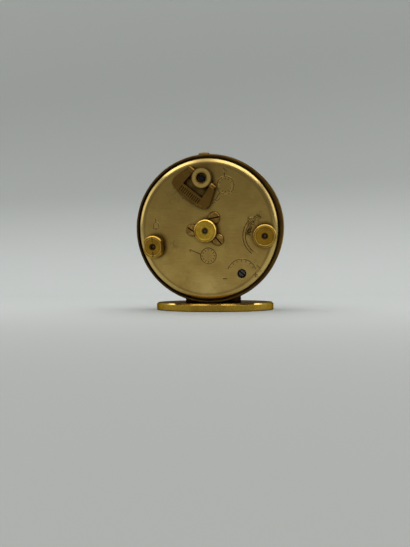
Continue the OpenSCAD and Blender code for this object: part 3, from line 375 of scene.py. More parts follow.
def metal(name, bright, tarnish, dirt, rough, cloud=Cloud(7.0, 0.52, 0.5), speck=Speck(0.5, 0.25),
          seed=1.0, lathe=None, brush=None, scratch=Scratch(0.7, 3.0, 0.4), spots=(), rings=(),
          belts=None, shoulder=None, edge=Edge(), crevice_shade=CreviceShade(0.8, 0.7),
          glancing=(0.75, 0.66, 0.42, 1)):
    """Worn metal. belts adds belts that are smoother and lit with a painted highlight, and belts
    darkened with soiling and painted shade, shoulder is a soft fall round the clock's axis, and
    glancing tints edge-on reflections."""
    made, tree, shader = new_material(name, Metallic=1.0, Specular_Tint=glancing)
    marks = lay(tree, "tarnish", {"Cloud Size": cloud.size, "Cloud Edge": cloud.edge,
                                  "Speck Size": speck.size, "Seed": seed})
    eased = lay(tree, "eased_edge", {"Radius": edge.radius})
    rubbed_and_highlight = sleek = times(tree, eased["Wear"], edge.shine)
    clouds = times(tree, marks["Cloud"], cloud.strength)
    grime_and_shade = times(tree, marks["Speck"], speck.strength)
    # Dark edges here are painted shade
    if edge.dirt:
        grime_and_shade = larger(tree, grime_and_shade, times(tree, eased["Wear"], edge.dirt))
    if belts:
        polish_and_highlight, dirty_and_shaded = belts(tree)
        rubbed_and_highlight = sleek = larger(tree, rubbed_and_highlight, polish_and_highlight)
        grime_and_shade = larger(tree, grime_and_shade, dirty_and_shaded)
    for ring in rings:
        mask = lay(tree, "ring_belt", {"Centre X": ring.x, "Centre Y": ring.y,
                                       "Radius": ring.radius, "Width": ring.width})["Mask"]
        if ring.strength < 0:
            rubbed_and_highlight = larger(tree, rubbed_and_highlight, times(tree, mask, -ring.strength))
        else:
            grime_and_shade = larger(tree, grime_and_shade, times(tree, mask, ring.strength))
    clouds = times(tree, clouds, calc(tree, "SUBTRACT", 1.0, rubbed_and_highlight))
    for spot in spots:
        mask = lay(tree, "soft_spot", {"Centre X": spot.x, "Centre Y": spot.y,
                                       "Radius": spot.radius, "Break Up": spot.break_up})["Mask"]
        if spot.strength < 0:
            rubbed_and_highlight = larger(tree, rubbed_and_highlight, times(tree, mask, -spot.strength))
        else:
            grime_and_shade = larger(tree, grime_and_shade, times(tree, mask, spot.strength))
    # Painted shade, with some soiling, where the surface is closed in by others
    corner = lay(tree, "crevice_shade", {"Reach": crevice_shade.reach})["Mask"]
    grime_and_shade = larger(tree, grime_and_shade, times(tree, corner, crevice_shade.strength))
    line = lay(tree, "scratches", {"Angle": scratch.angle, "Spacing": scratch.spacing,
                                   "Seed": seed})["Line"]
    line = times(tree, line, scratch.strength)
    height = times(tree, line, SCRATCH_DEPTH)
    if shoulder:
        radius = lay(tree, "clock_place")["Radius"]
        height = calc(tree, "ADD", height, ramp(tree, radius, shoulder.inner, shoulder.outer,
                                                0.0, -shoulder.depth))
    if lathe:
        grooves = lay(tree, "turning", {"Centre X": lathe.x, "Centre Y": lathe.y,
                                        "Pitch": lathe.pitch})["Height"]
        height = calc(tree, "MULTIPLY_ADD", grooves, lathe.depth, height)
        grime_and_shade = larger(tree, grime_and_shade, times(tree, grooves, lathe.mark))
    if brush:
        grain = lay(tree, "brushing", {"Angle": brush.angle,
                                       "Line Width": brush.line_width})["Height"]
        height = calc(tree, "MULTIPLY_ADD", grain, brush.depth, height)
        grime_and_shade = larger(tree, grime_and_shade, ramp(tree, grain, *BRUSH_DIRT_EDGE, 0.0, brush.mark))
    # The pale mix both brightens worn edges and paints highlights
    shine = mixed(tree, rubbed_and_highlight, bright, [(1 - RUBBED_AND_HIGHLIGHT_SHARE) * own + RUBBED_AND_HIGHLIGHT_SHARE * gold
                                         for own, gold in zip(bright, RUBBED_AND_HIGHLIGHT)])
    dirt_and_shade_share = larger(tree, grime_and_shade, times(tree, line, SCRATCH_DIRT))
    colour = lay(tree, "toned", {"Metal": shine, "Tarnish": tarnish, "Dirt": dirt,
                                 "Tarnish Share": clouds, "Dirt And Shade Share": dirt_and_shade_share})["Color"]
    feed(tree, shader.inputs["Base Color"], colour)
    rougher = calc(tree, "MULTIPLY_ADD", clouds, TARNISH_ROUGHER,
                   calc(tree, "MULTIPLY_ADD", sleek, SLEEK_SHARE * rough, rough))
    feed(tree, shader.inputs["Roughness"],
         calc(tree, "MULTIPLY_ADD", grime_and_shade, DIRT_ROUGHER, rougher))
    bump = put(tree, "ShaderNodeBump", {"Strength": 1.0, "Distance": BUMP_HEIGHT * MM,
                                        "Height": height, "Normal": eased["Normal"]})
    feed(tree, shader.inputs["Normal"], bump.outputs[0])
    return made


# Belts of wear, painted highlight and painted shade: radii and heights are in millimetres on the
# clock's own axes
def cover_belts(tree):
    """The cover's turned edge is smoother and brightened as a painted highlight, with a darker line
    where it turns as a painted dark reflection.
    """
    polish_and_highlight_share, dark_reflection_share = 0.7, 0.36
    radius = lay(tree, "clock_place")["Radius"]
    polish_and_highlight = ramp(tree, radius, 23.2, 24.2, 0.0, polish_and_highlight_share)
    line = times(tree, ramp(tree, radius, 22.4, 23.2), ramp(tree, radius, 23.9, 23.4))
    return polish_and_highlight, times(tree, line, dark_reflection_share)


def band_belts(tree):
    """The band's lip round the cover is darkened as painted shade, and a dark seam runs round the
    band.
    """
    no_polish, lip_shade, seam_dirt = 0.0, 0.45, 0.5
    height = lay(tree, "clock_place")["Height"]
    seam = times(tree, ramp(tree, height, 12.1, 12.4), ramp(tree, height, 12.9, 12.6))
    lip = ramp(tree, height, 13.6, 15.0)
    return no_polish, larger(tree, times(tree, lip, lip_shade), times(tree, seam, seam_dirt))


def foot_belts(tree):
    """The foot's flat top is darkened as painted shade; its upper edge, up from the floor, is
    smoother and brightened as a painted highlight.
    """
    top_shade = 0.45
    height = split(tree, scene_place(tree))[2]
    flat_top = ramp(tree, height, 2.84 * MM, 2.89 * MM)
    edge = times(tree, ramp(tree, height, 2.3 * MM, 2.5 * MM), calc(tree, "SUBTRACT", 1.0, flat_top))
    return edge, times(tree, flat_top, top_shade)


BRASS_DIRT_AND_SHADE = hue(48, 30, 12)
COVER_DIRT_AND_SHADE = hue(70, 48, 20)

# Stains and rubbed places of the cover, with painted light among them: the spots at (-6.0, 13.0)
# and (-2.6, 14.4) are a painted shadow of the key, the bright spot at (2.0, -24.5) is a painted
# reflection along the bottom, and the spot at (0.0, 25.0) darkens the top.
COVER_SPOTS = [Spot(16.8, 2.6, 3.8, 0.9, 1.25), Spot(15.4, -0.8, 2.8, 0.9, 1.2),
               Spot(18.6, 4.6, 2.6, 0.9, 0.95), Spot(-12.0, -4.5, 3.2, 0.9, 0.5),
               Spot(-8.0, -16.5, 7.0, 0.9, 0.22), Spot(2.0, -24.5, 14.0, 0.1, -0.8),
               Spot(0.0, 25.0, 8.0, 0.1, 0.6), Spot(-6.0, 13.0, 4.5, 0.3, 0.4),
               Spot(-2.6, 14.4, 4.6, 0.3, 0.5), Spot(12.6, -15.0, 7.5, 0.7, -0.4),
               Spot(-18.0, -14.0, 8.0, 0.5, -0.2), Spot(16.8, -13.0, 4.0, 0.8, 0.35),
               Spot(-14.0, 9.0, 6.0, 0.95, 0.18), Spot(3.0, 21.0, 6.0, 0.95, 0.25),
               Spot(-11.5, 12.5, 5.5, 0.6, 0.35)]

# The cover's belts paint its rim highlight and the dark line inside it, and its crevice mask paints
# shade round what stands on it
COVER = metal("cover_sheet_brass", hue(196, 165, 92), hue(168, 134, 72), COVER_DIRT_AND_SHADE, 0.33,
              cloud=Cloud(9.0, 0.5, 0.55), speck=Speck(0.45, 0.35), seed=2.0,
              brush=Brush(0.06, 0.1, 0.3, 0.2), scratch=Scratch(0.7, 2.6, 0.5), spots=COVER_SPOTS,
              belts=cover_belts, shoulder=Shoulder(22.9, 24.8, 16.0), edge=Edge(0.05, 0.3),
              crevice_shade=CreviceShade(2.4, 1.0))
# Lighter brass for the lips of stamped lines, as a painted highlight; the bright scuffs use it too
STAMP_EDGE = metal("stamped_edge_brass", hue(208, 174, 100), hue(168, 134, 72), COVER_DIRT_AND_SHADE, 0.34,
                   cloud=Cloud(1.6, 0.5, 0.8), speck=Speck(0.3, 0.4), seed=2.5, edge=Edge(0.03),
                   crevice_shade=CreviceShade(0.4, 0.5))
# A darker copy of the band's brass, as painted shade: the saddle sits in the shade under the case
SHADED_SADDLE = metal("shaded_saddle_brass", hue(58, 40, 19), hue(38, 25, 11), hue(24, 15, 6), 0.4,
               cloud=Cloud(3.0, 0.46, 0.8), speck=Speck(0.35, 0.5), seed=3.5,
               brush=Brush(0.0, 0.1, 0.2, 0.15), scratch=Scratch(0.2, 2.0, 0.5),
               edge=Edge(shine=0.3), crevice_shade=CreviceShade(1.6, 0.95), glancing=(0.3, 0.22, 0.12, 1))
BAND = metal("band_brass", hue(124, 96, 48), hue(84, 60, 28), hue(44, 27, 10), 0.32,
             cloud=Cloud(6.0, 0.5, 0.7), speck=Speck(0.35, 0.5), seed=3.0,
             brush=Brush(0.0, 0.1, 0.2, 0.15), scratch=Scratch(0.2, 2.0, 0.5), belts=band_belts,
             edge=Edge(shine=0.4), crevice_shade=CreviceShade(0.25, 0.8), glancing=(0.6, 0.48, 0.3, 1))
BEZEL = metal("bezel_brass", hue(206, 168, 88), hue(156, 116, 56), BRASS_DIRT_AND_SHADE, 0.2,
              cloud=Cloud(6.0, 0.55, 0.4), seed=4.0, lathe=Lathe(*HUB, 0.35, 0.15))
# The foot's edge mix and belts paint a highlight along its chamfer and shade on its flat top
FOOT = metal("foot_brass", hue(192, 156, 58), hue(150, 112, 44), BRASS_DIRT_AND_SHADE, 0.26,
             cloud=Cloud(5.0, 0.52, 0.5), speck=Speck(0.4, 0.3), seed=5.0,
             brush=Brush(0.0, 0.1, 0.35, 0.15), scratch=Scratch(0.1, 2.0, 0.5), belts=foot_belts,
             edge=Edge(0.12, 1.4), glancing=(0.2, 0.16, 0.06, 1))


def knob_brass(name, centre, seed, rings, bright=hue(190, 146, 46)):
    """A turned knob; each of its rings is a radius, a width and a strength."""
    return metal(name, bright, hue(140, 98, 28), hue(54, 30, 8), 0.25,
                 cloud=Cloud(2.5, 0.52, 0.5), speck=Speck(0.3, 0.3), seed=seed,
                 lathe=Lathe(*centre, 0.5, 0.6, 0.34), scratch=Scratch(1.1, 1.4, 0.4),
                 rings=[Ring(*centre, *ring) for ring in rings], edge=Edge(0.1, 1.0),
                 crevice_shade=CreviceShade(1.3, 0.95))


# Knob rings: the first darkens round the arbor as painted shade of its hole, those below 0 are
# painted highlights along the rims, and the rest are darker rings
SET_KNOB = knob_brass("set_knob_brass", HUB, 6.0,
                      [(1.05, 0.5, 0.75), (3.4, 0.35, 0.6), (3.8, 0.4, -0.8)], hue(250, 204, 74))
ALARM_SET_KNOB = knob_brass("alarm_knob_brass", ALARM_KNOB, 7.0,
                            [(1.0, 0.5, 0.8), (2.9, 0.35, 0.35), (3.25, 0.25, -0.7),
                             (3.6, 0.3, 0.4), (3.95, 0.3, -0.9)])
SWITCH_BRASS = knob_brass("switch_knob_brass", SWITCH_KNOB, 8.0,
                          [(1.05, 0.5, 0.85), (2.75, 0.3, 0.4), (3.05, 0.25, -0.9),
                           (3.9, 0.35, -0.6)])
# Post rings: painted shade at the rim of the winding hole and round the post's outer edge, with a
# brighter ring between
POST_BRASS = metal("post_brass", hue(252, 212, 118), hue(204, 160, 80), BRASS_DIRT_AND_SHADE, 0.28,
                   cloud=Cloud(2.0, 0.5, 0.6), seed=9.0, lathe=Lathe(*POST, 0.5, 0.4, 0.15),
                   rings=[Ring(*POST, 2.0, 0.4, 0.6), Ring(*POST, 3.5, 0.5, 0.85),
                          Ring(*POST, 2.75, 0.5, -0.6)],
                   edge=Edge(0.1, 0.8), crevice_shade=CreviceShade(1.6, 1.0))
# The key's edges are darkened as painted shade
KEY_BRONZE = metal("key_bronze", hue(176, 136, 66), hue(112, 82, 36), hue(22, 13, 6), 0.36,
                   cloud=Cloud(2.2, 0.36, 0.8), speck=Speck(0.35, 0.5), seed=10.0,
                   brush=Brush(-0.7, 0.15, 0.6, 0.15), scratch=Scratch(0.7, 1.2, 0.6),
                   edge=Edge(0.18, 0.0, 0.75), crevice_shade=CreviceShade(0.6, 0.95))
# The screws' edges are darkened as painted shade
SCREW_BRONZE = metal("screw_bronze", hue(206, 170, 92), hue(144, 108, 54), hue(34, 18, 8), 0.27,
                     cloud=Cloud(1.2, 0.42, 0.9), speck=Speck(0.3, 0.5), seed=11.0,
                     scratch=Scratch(0.4, 0.8, 0.5), edge=Edge(0.16, 0.0, 0.9),
                     crevice_shade=CreviceShade(0.8, 1.0))
MOVEMENT_BRASS = metal("plate_brass", hue(212, 180, 104), hue(176, 138, 70), BRASS_DIRT_AND_SHADE, 0.28,
                       cloud=Cloud(6.0, 0.6, 0.4), seed=12.0, brush=Brush(0.8, 0.12, 0.4, 0.15))
WHEEL_BRASS = metal("wheel_brass", hue(222, 190, 110), hue(186, 148, 78), BRASS_DIRT_AND_SHADE, 0.2,
                    cloud=Cloud(3.0, 0.6, 0.35), seed=13.0, brush=Brush(0.3, 0.08, 0.2, 0.15),
                    edge=Edge(0.04))
STEEL = metal("arbor_steel", hue(150, 150, 154), hue(110, 100, 92), hue(40, 32, 26), 0.28,
              cloud=Cloud(1.5, 0.5, 0.5), seed=14.0, scratch=Scratch(0.5, 1.0, 0.4),
              edge=Edge(0.06), glancing=(0.9, 0.9, 0.9, 1))
# Darker steel for the arbor ends sunk in the knobs, as painted shade of their holes
SHADED_KNOB_ARBOR = metal("shaded_knob_arbor_steel", hue(120, 104, 96), hue(96, 58, 38), hue(24, 12, 7), 0.34,
                   cloud=Cloud(0.9, 0.45, 0.8), speck=Speck(0.3, 0.5), seed=18.0,
                   crevice_shade=CreviceShade(1.0, 0.9), glancing=(0.8, 0.7, 0.6, 1))
# Darker steel for the arbor at the bottom of the winding hole, as painted shade
SHADED_WINDING_STEEL = metal("shaded_winding_arbor_steel", hue(62, 66, 76), hue(40, 40, 40), hue(10, 9, 8), 0.4,
                      cloud=Cloud(0.9, 0.45, 0.8), seed=19.0, edge=Edge(0.15),
                      crevice_shade=CreviceShade(1.6, 1.0), glancing=(0.6, 0.6, 0.6, 1))
DARK_STEEL = metal("screw_steel", hue(98, 96, 92), hue(66, 58, 50), hue(16, 12, 9), 0.32,
                   cloud=Cloud(1.0, 0.5, 0.6), seed=15.0, scratch=Scratch(0.5, 0.8, 0.5),
                   crevice_shade=CreviceShade(0.8, 0.9), glancing=(0.7, 0.7, 0.7, 1))
BLUED_STEEL = metal("blued_steel", hue(64, 78, 128), hue(78, 58, 96), hue(20, 18, 26), 0.22,
                    cloud=Cloud(2.0, 0.5, 0.6), seed=16.0, edge=Edge(0.03),
                    glancing=(0.8, 0.8, 0.9, 1))
ALARM_HAND_BRASS = metal("alarm_hand_brass", hue(206, 164, 78), hue(160, 116, 52), BRASS_DIRT_AND_SHADE, 0.2,
                         seed=17.0)


def painted(name, colour, shade, rough, grain=0.1, cloud_size=5.0, seed=20.0, metallic=0.0):
    """Paint or print with a slightly uneven tone and surface."""
    cloud_share, speck_share, cloud_rougher = 0.5, 0.4, 0.1
    made, tree, shader = new_material(name, Metallic=metallic)
    marks = lay(tree, "tarnish", {"Cloud Size": cloud_size, "Cloud Edge": 0.5,
                                  "Speck Size": 0.25, "Seed": seed})
    tone = lay(tree, "toned", {"Metal": colour, "Tarnish": shade, "Dirt": shade,
                               "Tarnish Share": times(tree, marks["Cloud"], cloud_share),
                               "Dirt And Shade Share": times(tree, marks["Speck"], speck_share)})["Color"]
    feed(tree, shader.inputs["Base Color"], tone)
    feed(tree, shader.inputs["Roughness"],
         calc(tree, "MULTIPLY_ADD", marks["Cloud"], cloud_rougher, rough))
    bump = put(tree, "ShaderNodeBump", {"Strength": grain, "Distance": BUMP_HEIGHT * MM,
                                        "Height": marks["Speck"]})
    feed(tree, shader.inputs["Normal"], bump.outputs[0])
    return made


# Dark brown for the middle of a stamped line, as painted shade in its groove; the dark scuffs use
# it too
STAMPED = painted("stamped_line", hue(60, 42, 17), hue(42, 28, 11), 0.45, grain=0.5,
                  cloud_size=1.2, metallic=0.7)
DIAL_PAINT = painted("dial_cream", hue(244, 238, 216), hue(226, 214, 182), 0.5, cloud_size=9.0)
DIAL_BLACK = painted("dial_black_print", hue(28, 26, 24), hue(44, 40, 36), 0.45, cloud_size=2.0,
                     seed=21.0)
HAND_BLACK = painted("hand_black", hue(26, 25, 24), hue(40, 38, 36), 0.25, cloud_size=2.0,
                     seed=22.0)
GLOW_PAINT = painted("glow_paint", hue(206, 214, 160), hue(180, 182, 128), 0.7, grain=0.6,
                     cloud_size=0.8, seed=23.0)


def clear_glass():
    """Window glass with a faint film of dust."""
    dust_share, dust_rougher = 0.3, 0.04
    made, tree, shader = new_material("clear_glass", Transmission_Weight=1.0, IOR=1.5)
    marks = lay(tree, "tarnish", {"Cloud Size": 12.0, "Cloud Edge": 0.55, "Speck Size": 0.3,
                                  "Seed": 24.0})
    film = lay(tree, "toned", {"Metal": (0.97, 0.985, 0.98, 1), "Tarnish": (0.93, 0.95, 0.94, 1),
                               "Dirt": (0.9, 0.92, 0.9, 1), "Tarnish Share": marks["Cloud"],
                               "Dirt And Shade Share": times(tree, marks["Speck"], dust_share)})["Color"]
    feed(tree, shader.inputs["Base Color"], film)
    feed(tree, shader.inputs["Roughness"], times(tree, marks["Speck"], dust_rougher))
    return made


GLASS = clear_glass()

FINISHES = {
    COVER: ["back_cover"],
    BAND: ["case_band", "stop_button"],
    SHADED_SADDLE: ["saddle"],
    BEZEL: ["bezel"],
    FOOT: ["foot_plate"],
    SET_KNOB: ["set_knob"],
    ALARM_SET_KNOB: ["alarm_set_knob"],
    SWITCH_BRASS: ["alarm_switch_knob"],
    POST_BRASS: ["winding_post"],
    KEY_BRONZE: ["winding_key"],
    SCREW_BRONZE: ["cover_screws", "foot_screws"],
    MOVEMENT_BRASS: ["front_plate", "back_plate", "pillars", "balance_cock", "cover_posts",
                     "barrel", "barrel_lid", "foot_nut", "dial_ring", "dial_feet"],
    WHEEL_BRASS: ["minute_wheel", "hour_wheel", "alarm_wheel", "alarm_idler", "centre_wheel",
                  "third_wheel", "fourth_wheel", "escape_wheel", "balance_wheel",
                  "cannon_pinion"],
    SHADED_WINDING_STEEL: ["winding_arbor"],
    SHADED_KNOB_ARBOR: ["alarm_set_arbor", "alarm_switch_arbor"],
    STEEL: ["key_pins", "minute_stud", "idler_stud", "stop_lever", "barrel_arbor",
            "ratchet_wheel", "click", "pallet_lever", "regulator_index", "alarm_hammer",
            "sounding_post"],
    DARK_STEEL: ["centre_arbor", "pillar_screws", "ratchet_screw", "cock_screws",
                 "regulator_screw"],
    BLUED_STEEL: ["mainspring", "hairspring"],
    HAND_BLACK: ["minute_hand", "hour_hand"],
    ALARM_HAND_BRASS: ["alarm_hand"],
    DIAL_PAINT: ["dial"],
    GLASS: ["glass"],
}
for finish, names in FINISHES.items():
    for name in names:
        parts[name].data.materials.clear()
        parts[name].data.materials.append(finish)


# Pieces
def place_in_scene(name, data):
    made = bpy.data.objects.new(name, data)
    bpy.context.scene.collection.objects.link(made)
    return made


def new_mesh(name, points, faces, material, smooth=False):
    """A mesh of one material."""
    mesh = bpy.data.meshes.new(name)
    mesh.from_pydata(points, [], faces)
    mesh.update()
    mesh.materials.append(material)
    if smooth:
        for face in mesh.polygons:
            face.use_smooth = True
    return mesh


# Cross sections, each point as its share of the line's width and its height
STAMPED_SECTION = ((-0.5, 0.0), (-0.38, 0.04), (-0.27, 0.012), (0.27, 0.012), (0.38, 0.04),
                   (0.5, 0.0))
SCUFF_SECTION = ((-0.5, 0.0), (0.0, 0.016), (0.5, 0.0))
PRINT_SECTION = ((-0.5, 0.0), (-0.42, 0.012), (0.42, 0.012), (0.5, 0.0))


# How far the rims of a line are sunk in its face, so that they show no gap
SINK = 0.004
SCUFF_SINK = 0.006


class Marks:
    """Lines stamped into or printed on a flat face, gathered into one piece."""

    def __init__(self, z, section, side=1):
        self.points, self.faces, self.z, self.section, self.side = [], [], z, section, side

    def line(self, path, width, closed=False):
        first, count = len(self.points), len(path)
        for i, (x, y) in enumerate(path):
            ahead = path[(i + 1) % count] if closed or i + 1 < count else path[i]
            behind = path[i - 1] if closed or i > 0 else path[i]
            dx, dy = ahead[0] - behind[0], ahead[1] - behind[1]
            size = math.hypot(dx, dy) or 1.0
            nx, ny = -dy / size, dx / size
            for across, up in self.section:
                self.points.append(on_clock(x + nx * across * width, y + ny * across * width,
                                            self.z + self.side * up))
        n = len(self.section)
        for i in range(count if closed else count - 1):
            a, b = first + i * n, first + (i + 1) % count * n
            for k in range(n - 1):
                quad = (a + k, b + k, b + k + 1, a + k + 1)
                self.faces.append(quad[::-1] if self.side > 0 else quad)

    def arc(self, centre, radius, start, stop, width, steps):
        full = abs(stop - start) >= 360
        self.line([around(centre, radius, start + (stop - start) * k / steps)
                   for k in range(steps if full else steps + 1)], width, full)

    def ticks(self, centre, inner, outer, angles, width):
        for angle in angles:
            self.line([around(centre, inner, angle), around(centre, outer, angle)], width)

    def arrow_head(self, tip, angle, size, width):
        for barb in (150, -150):
            self.line([around(tip, size, angle + barb), tip], width)

    def finish(self, name, material, body, slot, lips=None):
        """Makes the piece; lips is the material of a stamped line's pressed-up sides."""
        mesh = new_mesh(name, self.points, self.faces, material)
        made = place_in_scene(name, mesh)
        if lips:
            mesh.materials.append(lips)
            strips = len(self.section) - 1
            for k, face in enumerate(mesh.polygons):
                face.material_index = 0 if k % strips == strips // 2 else 1
        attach(made, body)


HOUR_ANGLES = range(0, 360, 30)


def stamp_cover():
    """The pressed marks of the back cover."""
    marks = Marks(Z_FACE - SINK, STAMPED_SECTION)
    fine, bold = 0.45, 0.54
    # Two small dials
    for centre, radius in (((7.3, 15.5), 3.0), ((0.3, -9.1), 2.85)):
        marks.arc(centre, radius, 0, 360, fine, 40)
        marks.ticks(centre, radius - 1.0, radius - 0.35, HOUR_ANGLES, fine)
    # Small hand over the upper dial, and its pointer to the middle knob
    marks.line([(7.0, 18.5), (7.1, 20.4)], bold)
    marks.arrow_head((7.1, 20.4), 88, 0.8, fine)
    marks.line([(5.2, 13.0), (4.0, 11.4), (3.3, 10.0)], fine)
    marks.arrow_head((3.3, 10.0), 244, 0.9, fine)
    # Pointer from the lower dial
    marks.line([(-2.7, -8.35), (-4.6, -7.5), (-6.7, -6.7)], fine)
    marks.arrow_head((-6.7, -6.7), 158, 0.9, fine)
    # Winding direction, round the post
    reach, end = 9.4, -143
    marks.arc(POST, reach, -50, end, fine, 30)
    marks.arrow_head(around(POST, reach, end), 127, 1.2, fine)
    # Double arrow beside the alarm knob
    inner, outer = 6.9, 7.8
    for radius in (inner, outer):
        marks.arc(ALARM_KNOB, radius, 124, 232, fine, 26)
    marks.arrow_head(around(ALARM_KNOB, (inner + outer) / 2, 122), 32, 1.5, bold)
    # Bell over the switch knob
    marks.arc((-18.7, 2.6), 0.9, 0, 180, fine, 12)
    marks.line([(-17.8, 2.6), (-17.6, 1.4), (-19.8, 1.4), (-19.6, 2.6)], fine)
    marks.line([(-18.7, 3.6), (-18.7, 4.9)], fine)
    marks.arc((-18.7, 1.2), 0.3, 180, 360, fine, 6)
    # Regulator scale, with its minus and plus
    marks.arc(REGULATOR, 5.2, 18, 162, fine, 30)
    marks.ticks(REGULATOR, 4.3, 5.2, range(30, 151, 20), fine)
    marks.line([(5.3, -17.5), (6.9, -17.5)], bold)
    marks.line([(16.2, -16.2), (17.8, -16.2)], bold)
    marks.line([(17.0, -17.0), (17.0, -15.4)], bold)
    marks.finish("cover_stamping", STAMPED, "case", "cover_brass", lips=STAMP_EDGE)


# Scuffs on the cover, each as its start, end and width
DARK_SCUFFS = (((14.9, 0.9), (15.8, 2.7), 0.28), ((15.2, 1.5), (16.9, 3.2), 0.22),
               ((16.3, 3.1), (18.4, 5.0), 0.3), ((15.5, -1.2), (16.3, 0.9), 0.3),
               ((14.2, -1.5), (15.2, 0.2), 0.22), ((15.1, -2.2), (15.4, -0.9), 0.24),
               ((17.3, 3.6), (18.9, 4.4), 0.2), ((6.6, 21.6), (7.9, 20.2), 0.22),
               ((17.7, -12.9), (18.9, -14.0), 0.24))
BRIGHT_SCUFFS = (((18.9, 4.9), (21.2, 3.6), 0.34), ((19.6, 5.4), (20.9, 4.5), 0.2),
                 ((14.9, -3.4), (16.1, -6.4), 0.3), ((16.1, -6.4), (18.1, -8.5), 0.26),
                 ((-11.9, 13.6), (-10.1, 15.3), 0.18), ((-10.6, 12.2), (-9.9, 14.0), 0.16),
                 ((16.4, -12.6), (17.9, -14.5), 0.22), ((17.2, -16.0), (19.4, -14.8), 0.26),
                 ((15.9, -17.6), (18.3, -17.0), 0.2), ((-5.6, -6.9), (-2.9, -8.1), 0.3),
                 ((2.3, 16.1), (3.7, 16.6), 0.2))
SCUFF_SPREAD = 1.4
SCUFF_BOW = 0.12


def scuff_cover(name, strokes, material):
    """Short bowed scuffs that stand a hair out of the cover."""
    marks = Marks(Z_FACE - SCUFF_SINK, SCUFF_SECTION)
    for start, end, width in strokes:
        bow = SCUFF_BOW * math.hypot(end[0] - start[0], end[1] - start[1])
        middle = ((start[0] + end[0]) / 2 - bow * 0.5, (start[1] + end[1]) / 2 + bow * 0.5)
        marks.line([start, middle, end], width * SCUFF_SPREAD)
    marks.finish(name, material, "case", "cover_brass")


# Circles of the dial's print, and its numbers
TRACK = (21.6, 22.7)
ALARM_CIRCLE, QUARTER_STROKE, HOUR_STROKE = 9.6, 10.2, 10.7
DOT_CIRCLE = 20.75
NUMBER_CIRCLE = 17.6
NUMBER_SIZE = 5.4
NUMBER_BOLDNESS = 0.004
NUMBER_INK = 0.006
NUMBER_LIFT = 0.01


def print_dial():
    """Minute track and alarm circle with their strokes, seen from the dial side."""
    marks = Marks(Z_DIAL - SINK, PRINT_SECTION, side=-1)
    for radius in TRACK:
        marks.arc(HUB, radius, 0, 360, 0.14, 120)
    marks.ticks(HUB, *TRACK, [a for a in range(0, 360, 6) if a % 30], 0.14)
    marks.ticks(HUB, *TRACK, HOUR_ANGLES, 0.45)
    marks.arc(HUB, ALARM_CIRCLE, 0, 360, 0.12, 80)
    marks.ticks(HUB, ALARM_CIRCLE, QUARTER_STROKE, [a / 2 for a in range(0, 720, 15)], 0.1)
    marks.ticks(HUB, ALARM_CIRCLE, HOUR_STROKE, HOUR_ANGLES, 0.16)
    marks.finish("dial_track", DIAL_BLACK, "case", "hand_black")


def hour_number(hour):
    """A printed number with its middle at its hour, read from the dial side."""
    name = "dial_number_%d" % hour
    curve = bpy.data.curves.new(name, "FONT")
    curve.body, curve.size = str(hour), NUMBER_SIZE * MM
    curve.align_x, curve.align_y = "CENTER", "CENTER"
    curve.offset = NUMBER_BOLDNESS * NUMBER_SIZE * MM
    curve.extrude = NUMBER_INK * MM
    outline = place_in_scene(name + "_outline", curve)
    bpy.context.view_layer.update()
    mesh = bpy.data.meshes.new_from_object(
        outline.evaluated_get(bpy.context.evaluated_depsgraph_get()))
    bpy.data.objects.remove(outline)
    low = Vector([min(v.co[i] for v in mesh.vertices) for i in (0, 1)])
    high = Vector([max(v.co[i] for v in mesh.vertices) for i in (0, 1)])
    middle = (low + high) / 2
    x, y = around(HUB, NUMBER_CIRCLE, 90 - 30 * hour)
    for v in mesh.vertices:
        v.co = on_clock(-(v.co.x - middle.x) / MM - x, (v.co.y - middle.y) / MM + y,
                        Z_DIAL - NUMBER_LIFT - v.co.z / MM)
    mesh.name = name
    mesh.materials.clear()
    mesh.materials.append(DIAL_BLACK)
    made = place_in_scene(name, mesh)
    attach(made, "case")


def glow_dots():
    """Raised luminous dots at the hours, inside the minute track."""
    dot_rings, sides = ((0.42, 0.0), (0.36, 0.06), (0.2, 0.09)), 16
    dot_lift = 0.002
    points, faces = [], []
    for angle in HOUR_ANGLES:
        centre = around(HUB, DOT_CIRCLE, angle)
        first = len(points)
        for radius, up in dot_rings:
            for k in range(sides):
                points.append(on_clock(*around(centre, radius, 360 * k / sides),
                                       Z_DIAL - dot_lift - up))
        for ring in range(len(dot_rings) - 1):
            for k in range(sides):
                p, q = first + ring * sides + k, first + ring * sides + (k + 1) % sides
                faces.append((p, q, q + sides, p + sides))
        top = first + (len(dot_rings) - 1) * sides
        faces.append(tuple(range(top, top + sides)))
    mesh = new_mesh("dial_glow_dots", points, faces, GLOW_PAINT, smooth=True)
    made = place_in_scene("dial_glow_dots", mesh)
    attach(made, "case")


def hand_glow(name, turn, start, stop, width, z, body):
    """Luminous strip along a hand's blade; turn is the hand's angle on the clock's own axes."""
    steps, blunt_start, taper = 8, 0.35, 0.75
    section = ((-1.0, 0.0), (-0.7, 0.03), (0.0, 0.045), (0.7, 0.03), (1.0, 0.0))
    c, s = math.cos(math.radians(turn)), math.sin(math.radians(turn))
    points, faces = [], []
    for k in range(steps + 1):
        share = k / steps
        along = start + (stop - start) * share
        half = width / 2 * (1 - taper * share * share) * (blunt_start if k == 0 else 1.0)
        for side, up in section:
            across = half * side
            points.append(on_clock(across * c - along * s, across * s + along * c, z - up))
    n = len(section)
    for k in range(steps):
        for p in range(k * n, k * n + n - 1):
            faces.append((p, p + 1, p + n + 1, p + n))
    made = place_in_scene(name, new_mesh(name, points, faces, GLOW_PAINT, smooth=True))
    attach(made, body)


stamp_cover()
scuff_cover("dark_scuffs", DARK_SCUFFS, STAMPED)
scuff_cover("bright_scuffs", BRIGHT_SCUFFS, STAMP_EDGE)
print_dial()
for hour in range(1, 13):
    hour_number(hour)
glow_dots()
hand_glow("minute_hand_glow", 60, 4.5, 16.5, 0.85, 1.9, "hand_setting")
hand_glow("hour_hand_glow", -55, 3.8, 10.8, 1.15, 2.35, "hour_work")


